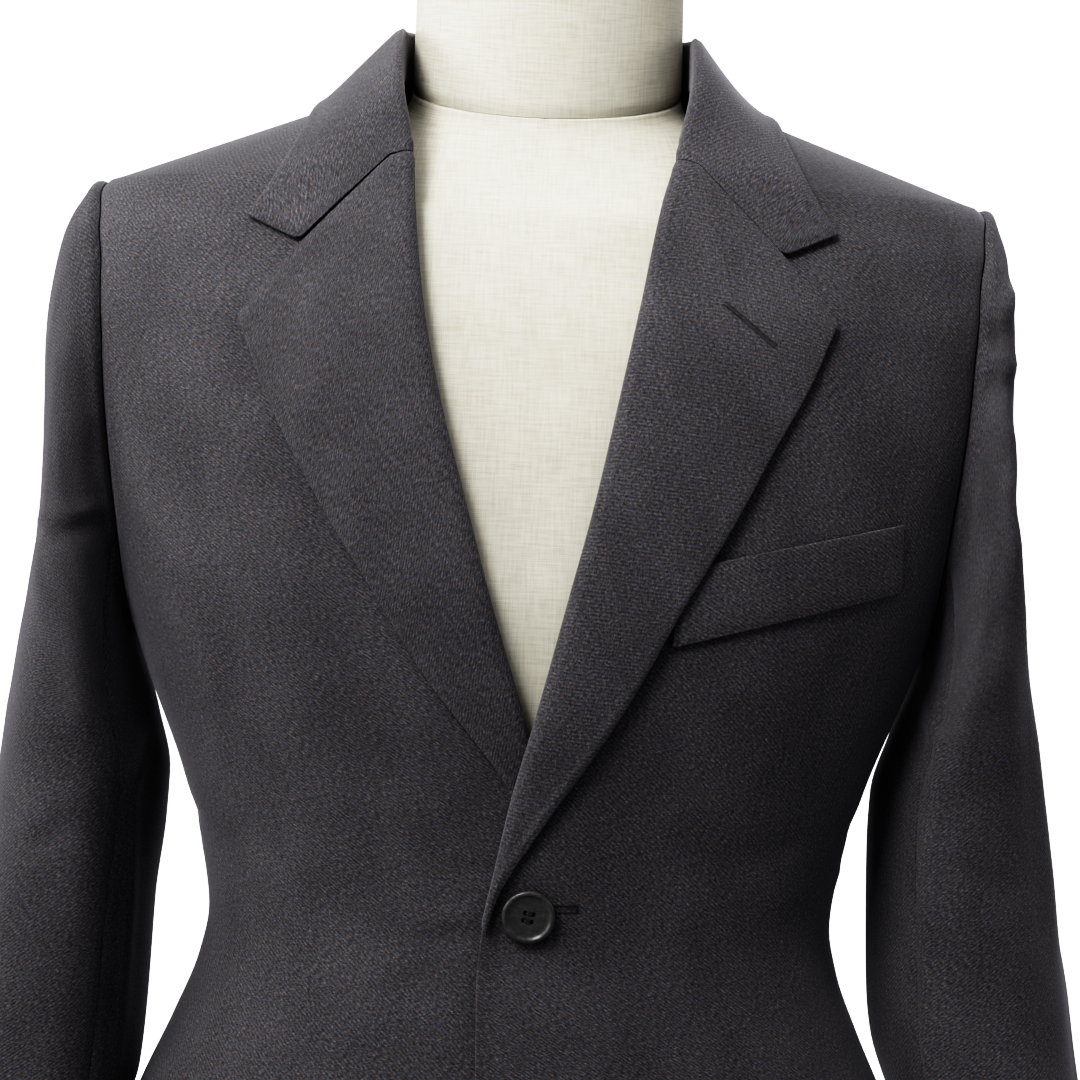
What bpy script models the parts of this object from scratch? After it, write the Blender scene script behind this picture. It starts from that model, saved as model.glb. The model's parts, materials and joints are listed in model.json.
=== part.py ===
"""A single-breasted chesterfield coat, worn by a limbless linen dress form.

Metres, +Z up. The form's base stands on z = 0, centre front faces -Y, and the wearer's
left is +X. The coat's outer face is one closed section curve at each height, and every
panel is a stretch of that face between two seams, with its wall inside it. What lies on
a panel is made from the panel's own points, moved out along their normals.
"""

import math

import bmesh
import bpy
import numpy as np

# Driving sizes of the coat
SHOULDER_HALF = 0.2165
SHOULDER_HEIGHT = 1.411
SHOULDER_SLOPE = math.radians(20)
NECK_HALF = 0.0705
NECK_HEIGHT = SHOULDER_HEIGHT + (SHOULDER_HALF - NECK_HALF) * math.tan(SHOULDER_SLOPE)
HEM_HEIGHT = 0.47
ARMPIT_HEIGHT = 1.195
VENT_HEIGHT = 0.80
VENT_UNDERLAP = 0.035

# Walls and gaps
WALL = 0.0018
LEAF_WALL = 0.0016
SEAM_GAP = 0.0003
LAYER_GAP = 0.0007
UNDERLAY_STEP = 0.0026
NECK_POINT_EASE = 0.0005

# Folded edges of lapels and collar: a half round over the panel's edge, then the leaf
FOLD_RADIUS = (WALL + 2 * LAYER_GAP + 2 * LEAF_WALL) / 2
LEAF_TOP = LAYER_GAP + LEAF_WALL
FOLD_MIDDLE = LEAF_TOP - FOLD_RADIUS
FOLD_TURNS = (-90, -50, -10, 30, 65)
UNDER_REACH = 0.0065
TURN_UNDER = 0.0036
LEAF_START = 0.0052
LEAF_STEPS = (0.0, 0.1, 0.26, 0.45, 0.654, 0.83, 1.0)
LEAF_REST = 0.0012
REST_RISE = (-0.5, 0.25)

# Lapels: heights of the roll's and the edge's lower end, height of the corner, and where the
# front's edge draws back inside the fold
LEFT_LAPEL_BOTTOM = (1.0865, 1.0815)
LEFT_LAPEL_TOP = 1.3445
LEFT_DRAWS_BACK = (1.0725, 1.0845)
RIGHT_LAPEL_BOTTOM = (1.1190, 1.1160)
RIGHT_LAPEL_TOP = 1.3400
RIGHT_DRAWS_BACK = (1.1045, 1.1175)
LAPEL_ROWS = 15
LAPEL_CROWDING = 1.5
LAPEL_BELLY = 0.0022
BELLY_WIDTHS = (0.03, 0.09)
GORGE_BEND_START = 0.72

# Collar, by its stations from the gorge seam to centre back
COLLAR_HALF_ROWS = (0.0, 0.05, 0.12, 0.19, 0.26, 0.34, 0.42, 0.50, 0.58, 0.67, 0.77, 0.88, 1.0)
COLLAR_REST = 0.0015
COLLAR_SWEEP = {1: 2.1, -1: 1.35}
COLLAR_SWEEP_BEHIND = 1.7
STAND_FOOT = 0.0008
FOOT_RISE = (0.3, 0.5)
GORGE_LENGTH = 0.110
GORGE_FADE = 0.2
TURN_FADE = 0.12
SHOULDER_STATION = 0.5

# Buttons down the front
BUTTON_RADIUS = 0.0125
BUTTON_THICKNESS = 0.0034
BUTTON_X = 0.0045
BUTTON_TOP = 1.066
BUTTON_SPACING = 0.115
BUTTON_COUNT = 3
BUTTON_SEAT = 0.0008
BUTTON_SIDES = 22
HOLE_RADIUS = 0.0009
HOLE_REACH = 0.0024
HOLE_SIDES = 6
BUTTON_PROFILE = (
    # share of the radius, share of the thickness
    (0.55, 0.62),
    (0.72, 0.80),
    (0.84, 1.00),
    (0.95, 0.92),
    (1.00, 0.60),
    (0.80, 0.00),
)

# The dress form
NECK_COLUMN_WIDTH = 0.0675
NECK_COLUMN_DEPTH = 0.060
NECK_COLUMN_MIDDLE = 0.006
NECK_SEAM_HEIGHT = 1.462
NECK_SEAM_TILT = 0.35
NECK_TOP = 1.532
TORSO_BOTTOM = 0.70
TORSO_FLAT_TOP = 1.395
POLE_RADIUS = 0.015
BASE_RADIUS = 0.19
BASE_THICKNESS = 0.022
SOCKET_HEIGHT = 0.030
FORM_COLUMNS = 30
TORSO_ROWS = 15
TORSO_TOP_ROWS = 7
SHOULDER_FULLNESS = 0.55
NECK_FLARE = 0.022
NECK_FLARE_TILT = 0.12
POLE_SIDES = 24
BASE_SIDES = 48


class Table:
    """Named columns against the first one, read smoothly and without overshoot between rows."""

    def __init__(self, names, rows):
        values = np.array(rows, float)
        self.keys = values[:, 0]
        self.columns = {name: values[:, i] for i, name in enumerate(names) if i}
        self.slopes = {name: self.slopes_of(column) for name, column in self.columns.items()}

    def slopes_of(self, column):
        steps = np.diff(self.keys)
        rates = np.diff(column) / steps
        slopes = np.zeros(len(column))
        slopes[0], slopes[-1] = rates[0], rates[-1]
        for i in range(1, len(column) - 1):
            before, after = rates[i - 1], rates[i]
            if before * after > 0:
                weight_before = 2 * steps[i] + steps[i - 1]
                weight_after = steps[i] + 2 * steps[i - 1]
                slopes[i] = (weight_before + weight_after) / (
                    weight_before / before + weight_after / after
                )
        return slopes

    def __call__(self, name, key):
        key = min(max(key, self.keys[0]), self.keys[-1])
        i = min(max(int(np.searchsorted(self.keys, key)) - 1, 0), len(self.keys) - 2)
        step = self.keys[i + 1] - self.keys[i]
        t = (key - self.keys[i]) / step
        column, slopes = self.columns[name], self.slopes[name]
        return float(
            (1 + 2 * t) * (1 - t) ** 2 * column[i]
            + t * (1 - t) ** 2 * step * slopes[i]
            + t * t * (3 - 2 * t) * column[i + 1]
            + t * t * (t - 1) * step * slopes[i + 1]
        )


# The coat's outer face: half its width, its depth before and behind the side line, and the
# power of the section curve (2 is an ellipse, more is squarer).
BODY = Table(
    ("height", "half_width", "front", "back", "power"),
    [
        (0.470, 0.2380, 0.1450, 0.1560, 2.15),
        (0.600, 0.2310, 0.1380, 0.1470, 2.15),
        (0.750, 0.2220, 0.1310, 0.1350, 2.15),
        (0.850, 0.2130, 0.1250, 0.1260, 2.20),
        (0.920, 0.2010, 0.1190, 0.1170, 2.20),
        (0.964, 0.1860, 0.1140, 0.1080, 2.20),
        (1.000, 0.1700, 0.1090, 0.1000, 2.20),
        (1.030, 0.1585, 0.1060, 0.0960, 2.20),
        (1.052, 0.1545, 0.1050, 0.0950, 2.20),
        (1.080, 0.1580, 0.1060, 0.0970, 2.25),
        (1.120, 0.1690, 0.1105, 0.1010, 2.30),
        (1.175, 0.1900, 0.1185, 0.1075, 2.45),
        (1.220, 0.2050, 0.1220, 0.1130, 2.50),
        (1.280, 0.2215, 0.1197, 0.1170, 2.45),
        (1.340, 0.2335, 0.1112, 0.1130, 2.30),
        (1.365, 0.2380, 0.1040, 0.1095, 2.15),
        (1.381, 0.2375, 0.0990, 0.1070, 2.10),
        (1.395, 0.2325, 0.0940, 0.1040, 2.04),
        (1.403, 0.2275, 0.0910, 0.1018, 2.02),
        (1.408, 0.2215, 0.0890, 0.1006, 2.02),
        (1.411, 0.2165, 0.0880, 0.1000, 2.02),
        (1.440, 0.1368, 0.0750, 0.0900, 2.02),
        (1.470, 0.0544, 0.0600, 0.0760, 2.00),
    ],
)

# Soft flutes of the skirt: where each runs, how wide it is and how far it stands out at the hem.
FLUTES = (
    # degrees from centre front, half its width in degrees, metres
    (-152, 17, 0.0080),
    (-108, 20, 0.0100),
    (-66, 16, 0.0075),
    (-34, 14, -0.0040),
    (38, 15, -0.0045),
    (70, 17, 0.0085),
    (112, 19, 0.0095),
    (149, 18, 0.0075),
)
FLUTE_TOP = 0.93

# x of the fronts' inner edges: the roll of the lapel above the top button, the cut edge below.
LEFT_EDGE = Table(
    ("height", "x"),
    [
        (0.470, -0.0180),
        (0.988, -0.0175),
        (1.033, -0.0183),
        (1.067, -0.0155),
        (1.0833, -0.0126),
        (1.1215, -0.0051),
        (1.1662, 0.0065),
        (1.2129, 0.0179),
        (1.2593, 0.0290),
        (1.3060, 0.0383),
        (1.3530, 0.0474),
        (1.4020, 0.0565),
        (1.4220, 0.0620),
        (1.4450, 0.0665),
        (1.4641, 0.0705),
    ],
)
RIGHT_EDGE = Table(
    ("height", "x"),
    [
        (0.470, 0.0180),
        (1.070, 0.0180),
        (1.095, 0.0150),
        (1.120, 0.0100),
        (1.150, 0.0023),
        (1.1658, -0.0028),
        (1.2115, -0.0175),
        (1.2575, -0.0308),
        (1.3033, -0.0439),
        (1.3497, -0.0539),
        (1.3978, -0.0600),
        (1.4220, -0.0620),
        (1.4450, -0.0665),
        (1.4641, -0.0705),
    ],
)

# x of the lapels' outer edges, from where each ends at the bottom up to its corner.
LEFT_LAPEL = Table(
    ("height", "x"),
    [
        (1.0754, -0.0093),
        (1.1023, 0.0056),
        (1.1407, 0.0305),
        (1.1722, 0.0503),
        (1.2105, 0.0705),
        (1.2428, 0.0890),
        (1.2885, 0.1127),
        (1.3140, 0.1264),
        (1.3445, 0.1389),
    ],
)
RIGHT_LAPEL = Table(
    ("height", "x"),
    [
        (1.1000, 0.0050),
        (1.1217, -0.0051),
        (1.1778, -0.0480),
        (1.2142, -0.0719),
        (1.2423, -0.0904),
        (1.2705, -0.1076),
        (1.3001, -0.1234),
        (1.3400, -0.1400),
    ],
)

# How far each lapel's edge rests above the panel: the left one lies over the breast welt.
LEFT_REST = Table(
    ("along", "rest"),
    [
        (0.0, 0.0),
        (0.2, 0.0012),
        (0.35, 0.0024),
        (0.62, 0.0024),
        (0.85, 0.0010),
        (1.0, LEAF_REST),
    ],
)
RIGHT_REST = Table(("along", "rest"), [(0.0, 0.0), (0.3, LEAF_REST), (1.0, LEAF_REST)])

# The gorge seam: how far it stands above a straight line from the roll to the lapel's corner.
GORGE_ACROSS = (0.0, 0.14, 0.67, 1.0)
GORGE_RISE = (0.0, 0.0076, 0.0061, 0.0)
NOTCH_ACROSS = 0.67
GORGE_START = (0.0620, 1.4220)
COLLAR_CORNER = (0.1391, 1.3880)
LAPEL_CORNER = (0.1389, 1.3445)

# How far the left front stands out where it laps over, and over the right lapel above that.
LAP_LIFT = Table(
    ("height", "lift"),
    [
        (0.470, 0.0028),
        (1.040, 0.0030),
        (1.070, 0.0056),
        (1.090, 0.0074),
        (1.140, 0.0074),
        (1.165, 0.0053),
        (1.200, 0.0022),
        (1.260, 0.0006),
        (1.330, 0.0000),
    ],
)
LAP_FULL_X = 0.014
LAP_END_X = 0.078

# The armhole, an egg in side view
ARMHOLE_MIDDLE = (SHOULDER_HEIGHT + ARMPIT_HEIGHT) / 2
ARMHOLE_HALF_HEIGHT = (SHOULDER_HEIGHT - ARMPIT_HEIGHT) / 2
ARMHOLE_FRONT = 0.058
ARMHOLE_BACK = 0.066
ARMHOLE_POWER = 2.4
ARMHOLE_STEPS = 10
ARMHOLE_CLEARANCE = 0.0004

# The sleeve below the armpit: x of its body side and of its outer side on each arm, and its
# middle and half its depth in side view.
SLEEVE = Table(
    ("height", "inner_left", "inner_right", "outer_left", "outer_right", "middle", "half_depth"),
    [
        (0.800, 0.2265, 0.2265, 0.3130, 0.3130, -0.020, 0.0480),
        (0.870, 0.2175, 0.2175, 0.3020, 0.3010, -0.014, 0.0530),
        (0.930, 0.2035, 0.2035, 0.2890, 0.2900, -0.006, 0.0570),
        (0.970, 0.1878, 0.1878, 0.2810, 0.2830, 0.000, 0.0590),
        (1.000, 0.1780, 0.1856, 0.2767, 0.2782, 0.004, 0.0608),
        (1.019, 0.1757, 0.1848, 0.2745, 0.2755, 0.005, 0.0620),
        (1.054, 0.1746, 0.1838, 0.2693, 0.2710, 0.008, 0.0646),
        (1.094, 0.1740, 0.1798, 0.2628, 0.2658, 0.009, 0.0684),
        (1.118, 0.1750, 0.1789, 0.2590, 0.2626, 0.009, 0.0710),
        (1.150, 0.1845, 0.1858, 0.2532, 0.2580, 0.006, 0.0745),
    ],
)
CUFF_HEIGHT = 0.80
BICEPS_HEIGHT = 1.150
SLEEVE_POWER = 2.1
SLEEVE_RIDGE = 0.075
SLEEVE_RIDGE_ANGLE = -24
SLEEVE_RIDGE_WIDTH = 20
CAP_LEAVE = 0.009
CAP_FULLNESS = 0.085
CAP_WAY = {"out": 0.30, "out_at_top": 0.70, "along": 0.30, "up_at_top": 0.16, "down": 0.55}
CAP_TAIL = 0.42
HEAD_FADE = 0.12
SLEEVE_ARM = 0.06
CAP_ROWS = 7
SLEEVE_ROWS = 9
FORESEAM_STEP = -2
HINDSEAM_STEP = 12

# How much fuller the sleeve head is than a plain curve from the armhole, at its outer side.
SLEEVE_HEAD = Table(
    ("height", "left", "right"),
    [
        (1.150, 0.0000, 0.0000),
        (1.200, -0.0030, -0.0036),
        (1.250, -0.0093, -0.0096),
        (1.275, -0.0112, -0.0082),
        (1.300, -0.0119, -0.0047),
        (1.350, -0.0054, 0.0005),
        (1.385, -0.0043, 0.0006),
        (1.402, -0.0034, -0.0012),
        (1.411, 0.0000, 0.0000),
    ],
)

# The collar from the gorge seam (0) to the shoulder seam (0.5): where its neck seam and its
# fall's edge lie on the coat, how high it folds and how upright its stand is.
COLLAR_FRONT = Table(
    ("station", "neck_x", "neck_height", "edge_x", "edge_height", "fold", "upright"),
    [
        (0.00, 0.0620, 1.4220, 0.1391, 1.3880, 0.0022, 0.00),
        (0.12, 0.0645, 1.4360, 0.1306, 1.4010, 0.0060, 0.10),
        (0.25, 0.0672, 1.4480, 0.1222, 1.4170, 0.0130, 0.40),
        (0.38, 0.0692, 1.4575, 0.1150, 1.4345, 0.0215, 0.80),
        (0.50, 0.0705, 1.4641, 0.1115, 1.4492, 0.0285, 1.00),
    ],
)
# The same from the shoulder seam to centre back (1), by angle.
COLLAR_BEHIND = Table(
    ("station", "neck_angle", "edge_angle", "edge_height", "fold"),
    [
        (0.50, 90.0, 90.0, 1.4492, 0.0285),
        (0.62, 112.0, 113.0, 1.4480, 0.0320),
        (0.75, 134.0, 135.0, 1.4460, 0.0350),
        (0.88, 157.0, 157.0, 1.4445, 0.0370),
        (1.00, 180.0, 180.0, 1.4440, 0.0375),
    ],
)

# The breast welt: its corners on the wearer's left chest
WELT_INNER_X = 0.0665
WELT_OUTER_X = 0.1744
WELT_TOP = (1.2279, 1.2531)
WELT_BOTTOM = (1.1925, 1.2209)
WELT_WALL = 0.0015
WELT_ROWS = 3
WELT_COLUMNS = 8

# The hip flaps, from the front of each to the back of it
FLAP_ANGLES = (30, 73)
FLAP_TOP = (0.958, 0.952)
FLAP_DEPTH = 0.056
FLAP_WALL = 0.0020
FLAP_ROWS = 4
FLAP_COLUMNS = 9


def smoothstep(start, end, value):
    t = min(max((value - start) / (end - start), 0.0), 1.0)
    return t * t * (3 - 2 * t)


def mix(a, b, t):
    return a + (b - a) * t


def unit(vector):
    return vector / np.linalg.norm(vector)


# ---------------------------------------------------------------- the coat's outer face


def section(height):
    """Half width, front depth, back depth and power at a height. Above the shoulder point the
    width shrinks along the shoulder seam's slope."""
    half_width = BODY("half_width", height)
    if height > SHOULDER_HEIGHT:
        half_width = SHOULDER_HALF - (height - SHOULDER_HEIGHT) / math.tan(SHOULDER_SLOPE)
    return half_width, BODY("front", height), BODY("back", height), BODY("power", height)


def flute(angle, height):
    """How far the skirt's flutes stand out here."""
    fall = smoothstep(FLUTE_TOP, HEM_HEIGHT, height)
    total = 0.0
    for middle, half_width, depth in FLUTES:
        away = abs((angle - middle + 180) % 360 - 180)
        if away < half_width:
            total += depth * math.cos(math.pi * away / half_width / 2) ** 2
    return total * fall


def skin_point(angle, height):
    """The outer face at an angle in degrees from centre front, growing towards +X."""
    half_width, front, back, power = section(height)
    side, ahead = math.sin(math.radians(angle)), math.cos(math.radians(angle))
    reach = (abs(side) ** power + abs(ahead) ** power) ** (-1 / power)
    depth = front if ahead > 0 else back
    swell = 1 + flute(angle, height) / half_width
    return np.array((half_width * side * reach * swell, -depth * ahead * reach * swell, height))


def skin_normal(angle, height):
    turn, rise = 0.4, 0.0006
    along = skin_point(angle + turn, height) - skin_point(angle - turn, height)
    up = skin_point(angle, height + rise) - skin_point(angle, height - rise)
    return unit(np.cross(along, up))


def angle_at(x, height, behind=False):
    """The angle whose point has this x, before or behind the side line."""
    half_width, _, _, power = section(height)
    side = min(abs(x) / half_width, 1.0)
    ahead = (1 - side**power) ** (1 / power)
    angle = math.degrees(math.atan2(side, -ahead if behind else ahead))
    return math.copysign(angle, x)


def angle_at_depth(depth, height, behind):
    """The angle on the +X side whose point lies this far before or behind the side line."""
    _, front, back, power = section(height)
    ahead = min(depth / (back if behind else front), 1.0)
    side = (1 - ahead**power) ** (1 / power)
    return math.degrees(math.atan2(side, -ahead if behind else ahead))


def armhole_depth(height, behind, inset=0.0):
    """How far the armhole's edge lies before or behind the side line."""
    rise = min(abs(height - ARMHOLE_MIDDLE) / (ARMHOLE_HALF_HEIGHT - inset), 1.0)
    depth = (ARMHOLE_BACK if behind else ARMHOLE_FRONT) - inset
    return depth * (1 - rise**ARMHOLE_POWER) ** (1 / ARMHOLE_POWER)


def armhole_height(step, inset=0.0):
    """Height of the armhole's edge at a step, from 0 at mid front to a quarter turn at the top."""
    turn = 2 * math.pi * step / (2 * ARMHOLE_STEPS)
    reach = abs(math.cos(turn)) ** ARMHOLE_POWER + abs(math.sin(turn)) ** ARMHOLE_POWER
    rise = math.sin(turn) * reach ** (-1 / ARMHOLE_POWER)
    return ARMHOLE_MIDDLE + (ARMHOLE_HALF_HEIGHT - inset) * rise


# ---------------------------------------------------------------- walls


def grid_normals(grid, flip):
    """The normals of a grid of points, from its neighbours along and across."""
    up = np.gradient(grid, axis=0)
    across = np.gradient(grid, axis=1)
    normals = np.cross(across, up)
    normals /= np.linalg.norm(normals, axis=2, keepdims=True)
    return -normals if flip else normals


def material(name, colour, roughness, metallic=0.0):
    made = bpy.data.materials.get(name) or bpy.data.materials.new(name)
    made.use_nodes = True
    shader = made.node_tree.nodes["Principled BSDF"]
    shader.inputs["Base Color"].default_value = (*colour, 1)
    shader.inputs["Roughness"].default_value = roughness
    shader.inputs["Metallic"].default_value = metallic
    return made


def add_object(name, mesh_edit, finish):
    """Turns a bmesh into a named object with outward faces and one material."""
    bmesh.ops.recalc_face_normals(mesh_edit, faces=mesh_edit.faces)
    mesh = bpy.data.meshes.new(name)
    mesh_edit.to_mesh(mesh)
    mesh_edit.free()
    mesh.materials.append(finish)
    mesh.shade_smooth()
    mesh.set_sharp_from_angle(angle=math.radians(40))
    made = bpy.data.objects.new(name, mesh)
    bpy.context.scene.collection.objects.link(made)
    return made


def wall(name, outer, inner, finish):
    """A closed wall between two grids of points with the same rows and columns."""
    rows, columns = outer.shape[:2]
    edit = bmesh.new()
    face = [[edit.verts.new(p) for p in row] for row in outer]
    back = [[edit.verts.new(p) for p in row] for row in inner]
    for i in range(rows - 1):
        for j in range(columns - 1):
            edit.faces.new((face[i][j], face[i][j + 1], face[i + 1][j + 1], face[i + 1][j]))
            edit.faces.new((back[i][j], back[i + 1][j], back[i + 1][j + 1], back[i][j + 1]))
    for i in range(rows - 1):
        for j in (0, columns - 1):
            edit.faces.new((face[i][j], face[i + 1][j], back[i + 1][j], back[i][j]))
    for j in range(columns - 1):
        for i in (0, rows - 1):
            edit.faces.new((face[i][j], face[i][j + 1], back[i][j + 1], back[i][j]))
    return add_object(name, edit, finish)


def rings_solid(name, rings, finish):
    """A whole solid through closed rings of points, flat at both ends."""
    edit = bmesh.new()
    loops = [[edit.verts.new(p) for p in ring] for ring in rings]
    for lower, upper in zip(loops, loops[1:]):
        for j in range(len(lower)):
            k = (j + 1) % len(lower)
            edit.faces.new((lower[j], lower[k], upper[k], upper[j]))
    edit.faces.new(loops[0])
    edit.faces.new(loops[-1])
    return add_object(name, edit, finish)


# ---------------------------------------------------------------- fronts and backs

ARMHOLE_ROWS = [armhole_height(step) for step in range(-ARMHOLE_STEPS // 2, ARMHOLE_STEPS // 2 + 1)]
SKIRT_ROWS = [HEM_HEIGHT, 0.53, 0.60, 0.68, 0.75, VENT_HEIGHT - 0.005, VENT_HEIGHT]
SKIRT_ROWS += [0.836, 0.880, 0.920, 0.951, 0.975, 0.998, 1.023, 1.048]
WAIST_ROWS = [1.072, 1.085, 1.104, 1.118, 1.145, 1.172]
SHOULDER_ROWS = [1.419, 1.427, 1.435, 1.442, 1.449, 1.454]
FRONT_TOP = 1.4588
FRONT_COLUMNS = 11
BACK_COLUMNS = 9


def left_lift(x, height):
    """The left front stands out where it laps over the right one."""
    return LAP_LIFT("lift", height) * (1 - smoothstep(LAP_FULL_X, LAP_END_X, x))


def no_lift(x, height):
    return 0.0


def underlay_lift(x, height):
    """The right back lies lower at the vent, under the left one."""
    under = smoothstep(-0.03, -0.006, x) * smoothstep(VENT_HEIGHT + 0.04, VENT_HEIGHT, height)
    return -UNDERLAY_STEP * under


def seam_side(height, behind):
    """The +X panel's angle at its side seam, armhole edge or shoulder seam."""
    depth = SEAM_GAP / 2
    if ARMPIT_HEIGHT < height < SHOULDER_HEIGHT:
        depth = max(armhole_depth(height, behind), depth)
    return angle_at_depth(depth, height, behind)


def panel(name, heights, columns, first_angle, last_angle, lift, finish):
    """A wall between two seams, each given as an angle at a height."""
    outer, inner = [], []
    for height in heights:
        outer_row, inner_row = [], []
        for j in range(columns):
            angle = mix(first_angle(height), last_angle(height), j / (columns - 1))
            point, normal = skin_point(angle, height), skin_normal(angle, height)
            point = point + normal * lift(point[0], height)
            outer_row.append(point)
            inner_row.append(point - normal * WALL)
        outer.append(outer_row)
        inner.append(inner_row)
    return wall(name, np.array(outer), np.array(inner), finish)


def left_front_edge(height):
    """The left front's inner edge, drawn back inside the lapel's fold where there is one."""
    return LEFT_EDGE("x", height) + TURN_UNDER * smoothstep(*LEFT_DRAWS_BACK, height)


def right_front_edge(height):
    return RIGHT_EDGE("x", height) - TURN_UNDER * smoothstep(*RIGHT_DRAWS_BACK, height)


def make_fronts(cloth):
    heights = SKIRT_ROWS + WAIST_ROWS + ARMHOLE_ROWS + SHOULDER_ROWS + [FRONT_TOP]
    panel(
        "front_left",
        heights,
        FRONT_COLUMNS,
        lambda height: angle_at(left_front_edge(height), height),
        lambda height: seam_side(height, False),
        left_lift,
        cloth,
    )
    panel(
        "front_right",
        heights,
        FRONT_COLUMNS,
        lambda height: angle_at(right_front_edge(height), height),
        lambda height: -seam_side(height, False),
        no_lift,
        cloth,
    )


def make_backs(cloth):
    heights = SKIRT_ROWS + WAIST_ROWS + ARMHOLE_ROWS + SHOULDER_ROWS
    heights += [FRONT_TOP, NECK_HEIGHT - NECK_POINT_EASE]

    def left_centre(height):
        return angle_at(SEAM_GAP / 2, height, behind=True)

    def right_centre(height):
        if height < VENT_HEIGHT:
            return angle_at(VENT_UNDERLAP, height, behind=True)
        return 360 - left_centre(height)

    panel(
        "back_left",
        heights,
        BACK_COLUMNS,
        left_centre,
        lambda height: seam_side(height, True),
        no_lift,
        cloth,
    )
    panel(
        "back_right",
        heights,
        BACK_COLUMNS,
        right_centre,
        lambda height: 360 - seam_side(height, True),
        underlay_lift,
        cloth,
    )


# ---------------------------------------------------------------- lapels and collar


def front_point(x, height, out, lift):
    """A point at x on the front, moved out from the panel's face."""
    angle = angle_at(x, height)
    return skin_point(angle, height) + skin_normal(angle, height) * (lift(x, height) + out)


def gorge_rise(across):
    return float(np.interp(across, GORGE_ACROSS, GORGE_RISE))


def lapel(name, side, edge, outer_edge, bottom, corner_height, rest, lift, finish):
    """A lapel: under the panel's inner edge, round the roll and out over the chest."""
    roll_bottom, edge_bottom = bottom
    grid = []
    for i in range(LAPEL_ROWS):
        v = 1 - (1 - i / (LAPEL_ROWS - 1)) ** LAPEL_CROWDING
        roll_height = mix(roll_bottom, GORGE_START[1], v) - SEAM_GAP / 2
        edge_height = mix(edge_bottom, corner_height, v)
        roll_x = edge("x", roll_height)
        edge_x = outer_edge("x", edge_height)
        bend = smoothstep(GORGE_BEND_START, 1.0, v)

        def leaf(across, out):
            x = mix(roll_x, edge_x, across)
            height = mix(roll_height, edge_height, across) + bend * gorge_rise(across)
            return front_point(x, height, out, lift)

        start, ahead = leaf(0.0, 0.0), leaf(0.02, 0.0)
        length = np.linalg.norm(leaf(1.0, 0.0) - start)
        outward = unit(leaf(0.0, 0.01) - start)
        across_way = unit(ahead - start)
        row = [start + across_way * UNDER_REACH + outward * (FOLD_MIDDLE - FOLD_RADIUS)]
        for turn in FOLD_TURNS:
            a = FOLD_RADIUS - FOLD_RADIUS * math.cos(math.radians(turn))
            b = FOLD_MIDDLE + FOLD_RADIUS * math.sin(math.radians(turn))
            row.append(start + across_way * a + outward * b)
        belly = LAPEL_BELLY * smoothstep(*BELLY_WIDTHS, length) * (1 - bend)
        for step in LEAF_STEPS:
            across = mix(LEAF_START / length, 1.0, step)
            seat = rest("rest", v) * smoothstep(*REST_RISE, step)
            out = LEAF_TOP + seat + belly * math.sin(math.pi * across)
            row.append(leaf(across, out))
        grid.append(row)
    outer = np.array(grid)
    inner = outer - grid_normals(outer, side < 0) * LEAF_WALL
    return wall(name, outer, inner, finish)


def make_lapels(cloth):
    lapel(
        "lapel_left",
        1,
        LEFT_EDGE,
        LEFT_LAPEL,
        LEFT_LAPEL_BOTTOM,
        LEFT_LAPEL_TOP,
        LEFT_REST,
        left_lift,
        cloth,
    )
    lapel(
        "lapel_right",
        -1,
        RIGHT_EDGE,
        RIGHT_LAPEL,
        RIGHT_LAPEL_BOTTOM,
        RIGHT_LAPEL_TOP,
        RIGHT_REST,
        no_lift,
        cloth,
    )


def collar_seat(station, across, side):
    """The angle and height on the coat below a point of the collar's fall."""
    if station > SHOULDER_STATION:
        angle = mix(COLLAR_BEHIND("neck_angle", station), COLLAR_BEHIND("edge_angle", station), across)
        return side * angle, mix(NECK_HEIGHT, COLLAR_BEHIND("edge_height", station), across)
    at_gorge = 1 - smoothstep(0.0, GORGE_FADE, station)
    height = mix(COLLAR_FRONT("neck_height", station), COLLAR_FRONT("edge_height", station), across)
    height += (collar_gorge_rise(across) + SEAM_GAP / 2) * at_gorge
    x = mix(COLLAR_FRONT("neck_x", station), COLLAR_FRONT("edge_x", station), across)
    return side * angle_at(x, height), height


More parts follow.
